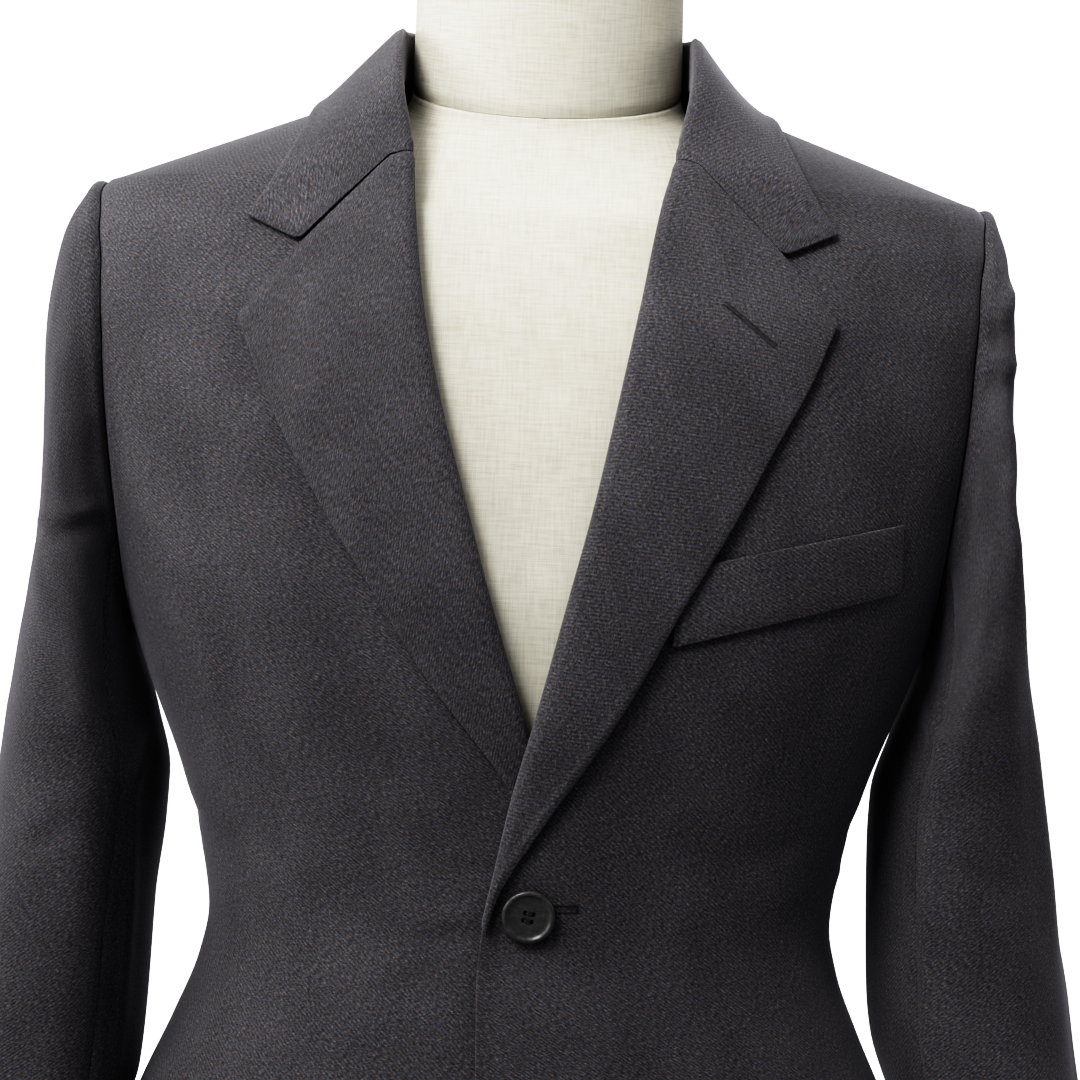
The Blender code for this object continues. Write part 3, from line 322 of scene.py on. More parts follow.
# The same from the shoulder seam to centre back (1), by angle.
COLLAR_BEHIND = Table(
    ("station", "neck_angle", "edge_angle", "edge_height", "fold"),
    [
        (0.50, 90.0, 90.0, 1.4492, 0.0285),
        (0.62, 112.0, 113.0, 1.4480, 0.0320),
        (0.75, 134.0, 135.0, 1.4460, 0.0350),
        (0.88, 157.0, 157.0, 1.4445, 0.0370),
        (1.00, 180.0, 180.0, 1.4440, 0.0375),
    ],
)

# The breast welt: its corners on the wearer's left chest
WELT_INNER_X = 0.0665
WELT_OUTER_X = 0.1744
WELT_TOP = (1.2279, 1.2531)
WELT_BOTTOM = (1.1925, 1.2209)
WELT_WALL = 0.0015

# The hip flaps, from the front of each to the back of it
FLAP_ANGLES = (30, 73)
FLAP_TOP = (0.958, 0.952)
FLAP_DEPTH = 0.056
FLAP_WALL = 0.0020


# ---------------------------------------------------------------- the coat's outer face


def section(height):
    """Half width, front depth, back depth and power at each height."""
    slope = SHOULDER_HALF - (height - SHOULDER_HEIGHT) / math.tan(SHOULDER_SLOPE)
    half_width = np.where(height > SHOULDER_HEIGHT, slope, BODY("half_width", height))
    return half_width, BODY("front", height), BODY("back", height), BODY("power", height)


def flute(angle, height):
    """How far the skirt's flutes stand out at an angle and height."""
    fall = smoothstep(FLUTE_TOP, HEM_HEIGHT, height)
    total = 0.0
    for middle, half_width, depth in FLUTES:
        away = np.minimum(np.abs((angle - middle + 180) % 360 - 180), half_width)
        total = total + depth * np.cos(np.pi * away / half_width / 2) ** 2
    return total * fall


def skin_point(angle, height):
    """The coat's outer face at angles in degrees from centre front, growing towards +X."""
    angle, height = np.broadcast_arrays(np.asarray(angle, float), np.asarray(height, float))
    half_width, front, back, power = section(height)
    side, ahead = np.sin(np.radians(angle)), np.cos(np.radians(angle))
    reach = (np.abs(side) ** power + np.abs(ahead) ** power) ** (-1 / power)
    depth = np.where(ahead > 0, front, back)
    swell = 1 + flute(angle, height) / half_width
    return np.stack((half_width * side * reach * swell, -depth * ahead * reach * swell, height), -1)


NORMAL_TURN, NORMAL_RISE = 0.4, 0.0006


def skin_normal(angle, height):
    """The way the outer face looks, from points a little to each side of it."""
    along = skin_point(angle + NORMAL_TURN, height) - skin_point(angle - NORMAL_TURN, height)
    up = skin_point(angle, height + NORMAL_RISE) - skin_point(angle, height - NORMAL_RISE)
    return unit(np.cross(along, up))


def angle_at(x, height, behind=False):
    """The angle whose point has this x, before or behind the side line."""
    half_width, _, _, power = section(np.asarray(height, float))
    side = np.minimum(np.abs(x) / half_width, 1.0)
    ahead = (1 - side**power) ** (1 / power)
    angle = np.degrees(np.arctan2(side, -ahead if behind else ahead))
    return np.copysign(angle, x)


def angle_at_depth(depth, height, behind):
    """The angle on the +X side whose point lies this far before or behind the side line."""
    _, front, back, power = section(np.asarray(height, float))
    ahead = np.minimum(depth / np.where(behind, back, front), 1.0)
    side = (1 - ahead**power) ** (1 / power)
    return np.degrees(np.arctan2(side, np.where(behind, -ahead, ahead)))


def armhole_depth(height, behind, inset=0.0):
    """How far before or behind the side line the armhole's edge lies at a height."""
    rise = np.minimum(np.abs(height - ARMHOLE_MIDDLE) / (ARMHOLE_HALF_HEIGHT - inset), 1.0)
    depth = np.where(behind, ARMHOLE_BACK, ARMHOLE_FRONT) - inset
    return depth * (1 - rise**ARMHOLE_POWER) ** (1 / ARMHOLE_POWER)


def armhole_height(turn, inset=0.0):
    """Height of the armhole's edge at a turn in degrees, from mid front over the top."""
    turn = np.radians(turn)
    reach = np.abs(np.cos(turn)) ** ARMHOLE_POWER + np.abs(np.sin(turn)) ** ARMHOLE_POWER
    rise = np.sin(turn) * reach ** (-1 / ARMHOLE_POWER)
    return ARMHOLE_MIDDLE + (ARMHOLE_HALF_HEIGHT - inset) * rise


# ---------------------------------------------------------------- creases

VIEWS = {
    # which coordinate runs across a crease's picture, and the way the picture faces
    "front": (0, (0, -1, 0)),
    "back": (0, (0, 1, 0)),
    "left": (1, (1, 0, 0)),
    "right": (1, (-1, 0, 0)),
}
CREASE_STARTS = (-0.12, 0.3)
CREASE_ENDS = (1.12, 0.7)
CREASE_FACING = (0.0, 0.35)
CREASE_WIDTHS = (0.75, 1.25)


def relief(points, normals, creases):
    """How far a table of creases moves each point along its normal.

    A crease runs between two places (across, height) seen from one side, bowed sideways at
    its middle, with a soft round section and ends that fade out."""
    total = np.zeros(points.shape[:-1])
    for side, start, end, half_width, depth, bow in creases:
        axis, toward = VIEWS[side]
        start, end = np.array(start), np.array(end)
        length = np.hypot(*(end - start))
        way = (end - start) / length
        from_start = points[..., (axis, 2)] - start
        along = from_start @ way / length
        off = from_start @ np.array((-way[1], way[0])) - bow * 4 * along * (1 - along)
        ends = smoothstep(*CREASE_STARTS, along) * smoothstep(*CREASE_ENDS, along)
        width = half_width * mix(*CREASE_WIDTHS, np.clip(along, 0, 1))
        facing = smoothstep(*CREASE_FACING, normals @ np.array(toward, float))
        total += depth * np.exp(-((off / width) ** 2)) * ends * facing
    return total


# Creases in metres: side, start, end, half width, height above the cloth, bow.
BODY_CREASES = [
    # the pull from the button across the wearer's right front
    ("front", (-0.036, 1.0945), (-0.009, 1.0910), 0.0032, 0.0007, 0.0006),
    ("front", (-0.038, 1.0860), (-0.013, 1.0845), 0.0036, -0.0006, 0.0),
    ("front", (-0.052, 1.0595), (-0.013, 1.0670), 0.0040, 0.0009, -0.0010),
    ("front", (-0.050, 1.0500), (-0.016, 1.0580), 0.0042, -0.0007, -0.0010),
    ("front", (-0.075, 1.0300), (-0.022, 1.0500), 0.0075, 0.0006, 0.0020),
    # beside the armholes, and above the waist at the sides
    ("front", (-0.1530, 1.1920), (-0.1480, 1.1560), 0.0030, 0.0009, 0.0005),
    ("front", (-0.1460, 1.1890), (-0.1425, 1.1600), 0.0034, 0.0007, 0.0),
    ("front", (-0.155, 1.215), (-0.130, 1.150), 0.0090, -0.0008, 0.0030),
    ("front", (0.158, 1.210), (0.136, 1.140), 0.0080, -0.0010, -0.0030),
    ("front", (-0.142, 1.098), (-0.108, 1.088), 0.0060, -0.0008, 0.0020),
    ("front", (0.146, 1.102), (0.104, 1.090), 0.0055, -0.0009, -0.0020),
    ("front", (0.148, 1.080), (0.118, 1.072), 0.0050, 0.0007, 0.0010),
    ("left", (-0.030, 1.104), (0.050, 1.092), 0.0075, -0.0014, 0.0030),
    ("left", (-0.020, 1.080), (0.062, 1.084), 0.0060, 0.0011, -0.0020),
    ("right", (-0.036, 1.098), (0.040, 1.106), 0.0070, -0.0013, 0.0020),
    ("right", (-0.010, 1.082), (0.058, 1.076), 0.0065, 0.0012, 0.0030),
    # from the shoulder blades to the waist, and under the collar
    ("back", (-0.098, 1.375), (-0.152, 1.225), 0.0120, -0.0016, 0.0060),
    ("back", (0.105, 1.370), (0.148, 1.240), 0.0110, -0.0014, -0.0060),
    ("back", (-0.060, 1.235), (-0.040, 1.105), 0.0130, 0.0015, 0.0040),
    ("back", (0.072, 1.225), (0.046, 1.115), 0.0110, 0.0013, -0.0030),
    ("back", (-0.132, 1.100), (-0.034, 1.088), 0.0075, -0.0016, 0.0040),
    ("back", (-0.118, 1.078), (-0.030, 1.074), 0.0060, 0.0010, -0.0020),
    ("back", (0.036, 1.092), (0.128, 1.104), 0.0080, -0.0015, 0.0040),
    ("back", (0.050, 1.070), (0.112, 1.080), 0.0055, -0.0008, 0.0020),
    ("back", (-0.052, 1.432), (0.050, 1.430), 0.0085, -0.0011, -0.0060),
]
SLEEVE_CREASES = {
    1: [
        # the head: short dents and ridges beside the outline
        ("left", (-0.034, 1.3760), (0.026, 1.3690), 0.0055, -0.0038, 0.0015),
        ("front", (0.2290, 1.3720), (0.2215, 1.3510), 0.0040, 0.0026, 0.0010),
        ("front", (0.2130, 1.3500), (0.2240, 1.3410), 0.0050, -0.0026, 0.0),
        ("front", (0.2150, 1.3360), (0.2320, 1.3300), 0.0035, 0.0024, -0.0010),
        ("front", (0.2150, 1.3250), (0.2270, 1.3180), 0.0050, -0.0024, 0.0),
        ("front", (0.2160, 1.3085), (0.2300, 1.2890), 0.0042, 0.0022, 0.0008),
        ("front", (0.2300, 1.2920), (0.2255, 1.2650), 0.0035, 0.0021, 0.0),
        # the long ridge where the sleeve turns to its outer side
        ("front", (0.2185, 1.2930), (0.2420, 1.1860), 0.0036, 0.0034, 0.0012),
        ("front", (0.2400, 1.2020), (0.2640, 1.0400), 0.0046, 0.0030, 0.0010),
        ("front", (0.2120, 1.2600), (0.2250, 1.1900), 0.0080, -0.0019, 0.0020),
        # the fold down the front
        ("front", (0.1925, 1.1850), (0.2000, 1.1420), 0.0026, 0.0019, -0.0010),
        ("front", (0.1990, 1.1520), (0.1965, 1.0880), 0.0028, 0.0018, 0.0008),
        ("front", (0.1965, 1.0980), (0.2010, 0.9700), 0.0030, 0.0019, -0.0006),
        ("front", (0.2080, 0.9900), (0.2160, 0.8500), 0.0036, 0.0019, 0.0010),
        # the elbow, the outer side and the back
        ("front", (0.2060, 1.0900), (0.2400, 1.0720), 0.0065, -0.0013, 0.0020),
        ("left", (-0.030, 1.3050), (-0.004, 1.1550), 0.0085, 0.0026, 0.0040),
        ("left", (0.022, 1.2900), (0.034, 1.1300), 0.0090, -0.0024, -0.0040),
        ("left", (0.012, 1.0650), (-0.020, 0.9300), 0.0080, 0.0019, 0.0030),
        ("left", (0.036, 1.1120), (-0.006, 1.0900), 0.0055, -0.0022, 0.0020),
        ("back", (0.2000, 1.0880), (0.2480, 1.0780), 0.0060, -0.0029, 0.0030),
        ("back", (0.2020, 1.0700), (0.2520, 1.0680), 0.0050, 0.0019, -0.0020),
        ("back", (0.2060, 1.0520), (0.2500, 1.0440), 0.0055, -0.0022, 0.0030),
        ("back", (0.2130, 1.3050), (0.2420, 1.2150), 0.0080, 0.0026, 0.0040),
        ("back", (0.2260, 0.9900), (0.2620, 0.8700), 0.0080, 0.0018, -0.0030),
    ],
    -1: [
        ("right", (-0.026, 1.3880), (0.024, 1.3820), 0.0050, -0.0034, 0.0015),
        ("front", (-0.2400, 1.2400), (-0.2030, 1.2500), 0.0030, 0.0016, -0.0010),
        ("front", (-0.2400, 1.2320), (-0.2060, 1.2410), 0.0042, -0.0014, -0.0010),
        ("front", (-0.2340, 1.3300), (-0.2180, 1.2750), 0.0090, 0.0019, 0.0030),
        ("front", (-0.2460, 1.2100), (-0.2180, 1.1500), 0.0090, -0.0016, 0.0030),
        # the fold down the front, and the short one beside it
        ("front", (-0.1830, 1.1720), (-0.1905, 1.1060), 0.0026, 0.0021, 0.0012),
        ("front", (-0.1895, 1.1180), (-0.1950, 0.9700), 0.0028, 0.0019, 0.0006),
        ("front", (-0.2000, 0.9900), (-0.2120, 0.8500), 0.0036, 0.0019, 0.0010),
        ("front", (-0.1800, 1.1620), (-0.1785, 1.1180), 0.0030, 0.0018, -0.0012),
        # the elbow, the outer side and the back
        ("front", (-0.2380, 1.0820), (-0.2080, 1.0960), 0.0065, -0.0013, 0.0020),
        ("front", (-0.2520, 1.0500), (-0.2480, 0.9400), 0.0080, 0.0014, 0.0020),
        ("right", (-0.026, 1.2950), (-0.002, 1.1450), 0.0090, 0.0024, 0.0040),
        ("right", (0.020, 1.3000), (0.030, 1.1500), 0.0080, -0.0022, -0.0040),
        ("right", (0.016, 1.0800), (-0.016, 0.9500), 0.0085, 0.0019, 0.0030),
        ("right", (0.034, 1.1180), (-0.008, 1.0940), 0.0055, -0.0021, 0.0020),
        ("back", (-0.2460, 1.0830), (-0.2000, 1.0920), 0.0060, -0.0026, 0.0030),
        ("back", (-0.2480, 1.0640), (-0.2020, 1.0720), 0.0050, 0.0019, -0.0020),
        ("back", (-0.2500, 1.0450), (-0.2080, 1.0510), 0.0055, -0.0019, 0.0030),
        ("back", (-0.2400, 1.2250), (-0.2140, 1.3000), 0.0080, 0.0024, 0.0040),
        ("back", (-0.2600, 0.8800), (-0.2280, 0.9800), 0.0080, 0.0018, -0.0030),
    ],
}


def cloth_point(angle, height, out=0.0):
    """A point on the creased body, moved out from it."""
    point, normal = skin_point(angle, height), skin_normal(angle, height)
    out = out + relief(point, normal, BODY_CREASES)
    return point + normal * out[..., None]


# ---------------------------------------------------------------- shells of cloth

# Where the extra lines near an edge lie, and how wide its round rim is, in shares of the wall
EDGE_LINES = (0.0, 0.10, 0.35, 0.7, 1.1)
RIM = 0.45
RIMS = {"edge": RIM, "": RIM, "seam": 0.13, "rope": 0.13}

# How the cloth swells beside each kind of edge: height, distance from the edge, half width
SWELLS = {
    "": (),
    "edge": ((0.0005, 0.0030, 0.0017),),
    "seam": ((-0.0003, 0.0, 0.0020), (0.0003, 0.0050, 0.0025)),
    "rope": ((0.0011, 0.0042, 0.0032), (-0.0002, 0.0, 0.0015)),
}
LINE_STEP = 0.0007
FAR = 0.02


def ruled(first, last, step, rim):
    """Stations from first to last with extra lines close to both ends."""
    near = np.array(EDGE_LINES) * rim
    count = max(int((last - first) / step), 4)
    inner = np.linspace(first + near[-1], last - near[-1], count)
    return np.concatenate((first + near[:-1], inner, last - near[-2::-1]))


def spaced(length, step, wall):
    """Shares of a length, with extra lines close to both ends of the cloth."""
    return ruled(0.0, length, step, wall * RIM) / length


def grid_normals(grid, flip=False):
    """The way a grid of points looks, the other way round if flipped."""
    up = np.gradient(grid, axis=0)
    across = np.gradient(grid, axis=1)
    normals = unit(np.cross(across, up))
    return -normals if flip else normals


def lengths_along(line):
    """How far each point of a line is from its first one, along it."""
    return np.concatenate(((0,), np.cumsum(np.linalg.norm(np.diff(line, axis=0), axis=1))))


def lengths_across(grid):
    """How far each point of a grid is from its row's first one, along the row."""
    steps = np.linalg.norm(np.diff(grid, axis=1), axis=2)
    return np.concatenate((np.zeros((len(grid), 1)), np.cumsum(steps, axis=1)), axis=1)


def distances(points, line):
    """Distance of every grid point from a line of points, no further than FAR."""
    flat = points.reshape(-1, 3)
    marks = lengths_along(line)
    count = max(int(marks[-1] / LINE_STEP), 2)
    stations = np.linspace(0, marks[-1], count)
    even = np.stack([np.interp(stations, marks, line[:, k]) for k in range(3)], 1)
    tree = KDTree(count)
    for i, point in enumerate(even):
        tree.insert(point, i)
    tree.balance()
    low, high = line.min(0) - FAR, line.max(0) + FAR
    near = np.all((flat > low) & (flat < high), axis=1)
    found = np.full(len(flat), FAR)
    for i in np.flatnonzero(near):
        found[i] = min(tree.find(flat[i])[2], FAR)
    return found.reshape(points.shape[:-1])


def swelling(kind, away):
    """How far the cloth stands out at a distance from an edge or seam of a kind."""
    total = 0.0 * away
    for height, middle, half_width in SWELLS[kind]:
        total = total + height * np.exp(-(((away - middle) / half_width) ** 2))
    return total


def shell(name, face, thick, uv, sides, finish, flip=False):
    """A thin closed cloth between its outer face and one wall inside it, with round rims.

    sides are the kinds of the grid's first row, last row, first column and last column."""
    rows, columns = face.shape[:2]
    normal = grid_normals(face, flip)
    lines = (face[0], face[-1], face[:, 0], face[:, -1])
    round_share = np.ones(face.shape[:2])
    out = np.zeros(face.shape[:2])
    for kind, line in zip(sides, lines):
        far = distances(face, line)
        round_share = np.minimum(round_share, far / (thick * RIMS[kind]))
        out += swelling(kind, far)
    half = thick / 2 * np.sqrt(1 - (1 - round_share) ** 2)
    rimmed = np.zeros(face.shape[:2], bool)
    rimmed[0], rimmed[-1], rimmed[:, 0], rimmed[:, -1] = True, True, True, True
    half[rimmed] = 0.0
    middle = face + normal * (out - thick / 2)[..., None]
    outer = middle + normal * half[..., None]
    inner = middle - normal * half[..., None]
    index = np.arange(rows * columns).reshape(rows, columns)
    behind = index.copy()
    behind[~rimmed] = rows * columns + np.arange((~rimmed).sum())
    verts = np.concatenate((outer.reshape(-1, 3), inner[~rimmed]))
    coords = np.concatenate((uv.reshape(-1, 2), uv[~rimmed]))
    faces = np.concatenate((quads(index), quads(behind)[:, (0, 3, 2, 1)]))
    if flip:
        faces = faces[:, ::-1]
    return add_mesh(name, verts, faces, coords, finish)


def quads(index):
    """The quads of a grid of vertex numbers."""
    corners = (index[:-1, :-1], index[:-1, 1:], index[1:, 1:], index[1:, :-1])
    return np.stack(corners, -1).reshape(-1, 4)


def ring_quads(index):
    """The quads of a grid of vertex numbers whose rows close on themselves."""
    after = np.roll(index, -1, axis=1)
    return np.stack((index[:-1], after[:-1], after[1:], index[1:]), -1).reshape(-1, 4)


def add_mesh(name, verts, faces, coords, finish):
    """A smooth mesh of quads with one material and a map in metres of cloth."""
    mesh = bpy.data.meshes.new(name)
    mesh.vertices.add(len(verts))
    mesh.vertices.foreach_set("co", verts.astype(np.float32).ravel())
    mesh.loops.add(faces.size)
    mesh.loops.foreach_set("vertex_index", faces.astype(np.int32).ravel())
    mesh.polygons.add(len(faces))
    mesh.polygons.foreach_set("loop_start", np.arange(0, faces.size, 4, dtype=np.int32))
    mesh.update(calc_edges=True)
    mesh.validate()
    if coords is not None:
        layer = mesh.uv_layers.new(name="cloth")
        used = np.zeros(len(mesh.loops), np.int32)
        mesh.loops.foreach_get("vertex_index", used)
        layer.data.foreach_set("uv", coords[used].astype(np.float32).ravel())
    mesh.shade_smooth()
    mesh.materials.append(finish)
    made = bpy.data.objects.new(name, mesh)
    bpy.context.scene.collection.objects.link(made)
    return made


def turned_map(uv, degrees):
    """A cloth map turned by this angle."""
    c, s = math.cos(math.radians(degrees)), math.sin(math.radians(degrees))
    u, v = uv[..., 0], uv[..., 1]
    return np.stack((u * c - v * s, u * s + v * c), -1)


def cloth_map(across, up):
    """A cloth map from each point's metres across and each row's metres up."""
    return np.stack((across, np.broadcast_to(up[:, None], across.shape)), -1)


def grid_map(face):
    """Metres of cloth across and along a grid, measured from its middle column."""
    middle = face.shape[1] // 2
    across = lengths_across(face)
    return cloth_map(across - across[:, middle][:, None], lengths_along(face[:, middle]))


def dress(piece, node):
    """Puts a piece in a CAD node's place."""
    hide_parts(node)
    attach(piece, "root")
    return piece


# ---------------------------------------------------------------- fronts and backs

PANEL_STEP = 0.0042
SHOULDER_STEP = 0.0014
ARMHOLE_ROWS = 61
WIDTH_PROBES = 24
# The largest shares of a row's width that the extra lines near an edge, and they and the room
# after them, may take where it is narrow
MOST_NEAR, MOST_LEAD = 0.2, 0.22
# The angles from centre front at which the cloth maps of the fronts and the backs start
FRONT_GRAIN = 45
BACK_GRAIN = 138
# Between these heights the fronts' edges draw in under the lapels' rolls
LEFT_DRAW_IN = (1.0725, 1.0845)
RIGHT_DRAW_IN = (1.1045, 1.1175)
# The vent's underlap lies this much lower, from one x to another and over this height
UNDERLAP_DROP = 0.0026
UNDERLAP_X = (-0.03, -0.006)
UNDERLAP_RISE = 0.04
BACK_TOP = NECK_HEIGHT - 0.0005

# How far the left front's edge rolls forward, and how wide its roll is
EDGE_ROLL = Table(
    ("height", "rise", "width"),
    [
        (0.470, 0.0008, 0.0026), (0.980, 0.0011, 0.0029), (1.020, 0.0014, 0.0032),
        (1.045, 0.0017, 0.0036), (1.058, 0.0018, 0.0040), (1.075, 0.0010, 0.0050),
        (1.090, 0.0000, 0.0060), (1.460, 0.0000, 0.0060),
    ],
)


def left_lift(x, height):
    """How far the overlap lies off the body, with the lapel's roll running out into its edge."""
    lap = LAP_LIFT("lift", height) * (1 - smoothstep(LAP_FULL_X, LAP_END_X, x))
    inward = np.maximum(x - LEFT_EDGE("x", height), 0.0) / EDGE_ROLL("width", height)
    return lap + EDGE_ROLL("rise", height) * np.exp(-(inward**2))


def no_lift(x, height):
    """A panel that lies on the body all over."""
    return 0.0 * x


def underlay_lift(x, height):
    """How far the vent's underlap lies in under the other back."""
    lower = smoothstep(VENT_HEIGHT + UNDERLAP_RISE, VENT_HEIGHT, height)
    return -UNDERLAP_DROP * smoothstep(*UNDERLAP_X, x) * lower


def seam_side(height, behind):
    """The angle of a panel's side edge: the side seam, and the armhole above it."""
    depth = np.full(height.shape, SEAM_GAP / 2)
    at_hole = (height > ARMPIT_HEIGHT) & (height < SHOULDER_HEIGHT)
    hole = np.maximum(armhole_depth(height, behind), SEAM_GAP / 2)
    return angle_at_depth(np.where(at_hole, hole, depth), height, behind)


def panel_heights(top, extra=()):
    """A panel's rows: close together near the hem, round the armhole and at the shoulder."""
    lower = ruled(HEM_HEIGHT, ARMPIT_HEIGHT, PANEL_STEP, WALL * RIM)
    hole = armhole_height(np.linspace(-90, 90, ARMHOLE_ROWS))
    upper = np.linspace(SHOULDER_HEIGHT, top, int((top - SHOULDER_HEIGHT) / SHOULDER_STEP))
    return np.unique(np.round(np.concatenate((lower, hole, upper, extra)), 6))


def panel(name, heights, count, edges, grain, lift, sides, finish):
    """A front or back, between two edges that give an angle at each height.

    It has a row at each of the heights and count columns besides those near its edges."""
    rows = heights[:, None]
    first, last = edges[0](heights)[:, None], edges[1](heights)[:, None]
    probe = skin_point(mix(first, last, np.linspace(0, 1, WIDTH_PROBES)), rows)
    width = np.linalg.norm(np.diff(probe, axis=1), axis=2).sum(1)[:, None]
    near = np.array(EDGE_LINES) * WALL * RIM / width
    start, lead = np.minimum(near[:, :-1], MOST_NEAR), np.minimum(near[:, -1:], MOST_LEAD)
    inside = lead + (1 - 2 * lead) * np.linspace(0, 1, count)
    angle = mix(first, last, np.concatenate((start, inside, 1 - start[:, ::-1]), axis=1))
    rows = np.broadcast_to(rows, angle.shape)
    bare = skin_point(angle, rows)
    face = cloth_point(angle, rows, lift(bare[..., 0], rows))
    sign = np.sign(last - first).mean()
    across = lengths_across(bare)
    up = lengths_along(skin_point(np.full(len(heights), grain), heights))
    middle = np.array([np.interp(grain * sign, a * sign, c) for a, c in zip(angle, across)])
    uv = cloth_map((across - middle[:, None]) * sign, up)
    return shell(name, face, WALL, uv, sides, finish, flip=sign < 0)


def make_fronts(cloth):
    heights = panel_heights(FRONT_TOP)

    def left_edge(height):
        under = TURN_UNDER * smoothstep(*LEFT_DRAW_IN, height)
        return angle_at(LEFT_EDGE("x", height) + under, height)

    def right_edge(height):
        under = TURN_UNDER * smoothstep(*RIGHT_DRAW_IN, height)
        return angle_at(RIGHT_EDGE("x", height) - under, height)

    left_edges = (left_edge, lambda height: seam_side(height, False))
    right_edges = (right_edge, lambda height: -seam_side(height, False))
    sides = ("edge", "", "edge", "seam")
    made = [
        panel("coat_front_left", heights, 62, left_edges, FRONT_GRAIN, left_lift, sides, cloth),
        panel("coat_front_right", heights, 56, right_edges, -FRONT_GRAIN, no_lift, sides, cloth),
    ]
    dress(made[0], "front_left")
    dress(made[1], "front_right")


def make_backs(cloth):
    heights = panel_heights(BACK_TOP, (VENT_HEIGHT - 0.001, VENT_HEIGHT))

    def left_centre(height):
        return angle_at(SEAM_GAP / 2, height, behind=True)

    def right_centre(height):
        under = angle_at(VENT_UNDERLAP, height, behind=True)
        return np.where(height < VENT_HEIGHT, under, 360 - left_centre(height))

    left_edges = (left_centre, lambda height: seam_side(height, True))
    right_edges = (right_centre, lambda height: 360 - seam_side(height, True))
    sides = ("edge", "", "seam", "seam")
    left = ("coat_back_left", heights, 56, left_edges, BACK_GRAIN, no_lift)
    right = ("coat_back_right", heights, 60, right_edges, 360 - BACK_GRAIN, underlay_lift)
    made = [panel(*back, sides, cloth) for back in (left, right)]
    dress(made[0], "back_left")
    dress(made[1], "back_right")


# ---------------------------------------------------------------- lapels and collar

TURN_UNDER = 0.0036
FOLD_RADIUS = (WALL + 2 * LAYER_GAP + 2 * LEAF_WALL) / 2
LEAF_TOP = LAYER_GAP + LEAF_WALL
FOLD_MIDDLE = LEAF_TOP - FOLD_RADIUS
LEAF_REST = 0.0012
REST_RISE = (-0.5, 0.25)
LEAF_START = 0.0052
LEAF_STEP = 0.0034

# The cloth under the front's edge: how far it reaches, and its lines from its end to the fold
UNDER_REACH = 0.0065
UNDER_SHARES = (1.0, 0.97, 0.85, 0.6, 0.3)
FOLD_TURNS = np.linspace(-90, 65, 15)

LAPEL_LENGTH, LAPEL_WIDTH, LAPEL_STEP = 0.36, 0.085, 0.0032
GORGE_BEND = (0.72, 1.0)
LAPEL_BELLY = 0.0022
BELLY_LENGTHS = (0.03, 0.09)
MOST_LEAF_START = 0.6
# Steps along the leaf (a share of its width) and off it (metres) that give its ways there
ASIDE, OFF = 0.02, 0.01
LAPEL_GRAIN = {1: -70, -1: 20}
# How far each lapel rests above the front, from its lower end to the gorge
LEFT_REST = Table(
    ("along", "rest"),
    [(0.0, 0.0), (0.2, 0.0012), (0.35, 0.0024), (0.62, 0.0024), (0.85, 0.0010), (1.0, LEAF_REST)],
)
RIGHT_REST = Table(("along", "rest"), [(0.0, 0.0), (0.3, LEAF_REST), (1.0, LEAF_REST)])

# The collar. Its stations run from the gorge seam at 0 to centre back at 1.
SHOULDER_STATION = 0.5
COLLAR_SIDE_LENGTH, COLLAR_WIDTH = 0.25, 0.08
COLLAR_BACK_ROWS = 48
GORGE_LENGTH = 0.110
GORGE_FADE = (0.0, 0.2)
TURNED_FADE = (0.0, 0.12)
STAND_FOOT = 0.0008
FOOT_RISE = (0.3, 0.5)
STAND_SHARES = np.linspace(0.03, 0.62, 9)
STAND_TURNS = np.linspace(-90, -40, 9)
TOP_TURNS = np.linspace(-12, 65, 9)
COLLAR_REST = 0.0015
COLLAR_SWEEP = {1: 2.1, -1: 1.35}
COLLAR_SWEEP_BEHIND = 1.7
COLLAR_ASIDE = 0.04


def front_point(x, height, out, lift):
    """A point of the front at an x and height, this far off a panel that is lifted like this."""
    x, height = np.broadcast_arrays(x, height)
    return cloth_point(angle_at(x, height), height, lift(x, height) + out)


def leaf_steps(length):
    """Shares of a leaf's width, with extra lines at its free edge only."""
    return spaced(length, LEAF_STEP, LEAF_WALL)[len(EDGE_LINES) - 2:]


def fold_point(turn, middle):
    """A point of a round fold: how far out it lies, and how far up from the cloth."""
    turn = math.radians(turn)
    return FOLD_RADIUS * (1 - math.cos(turn)), middle + FOLD_RADIUS * math.sin(turn)


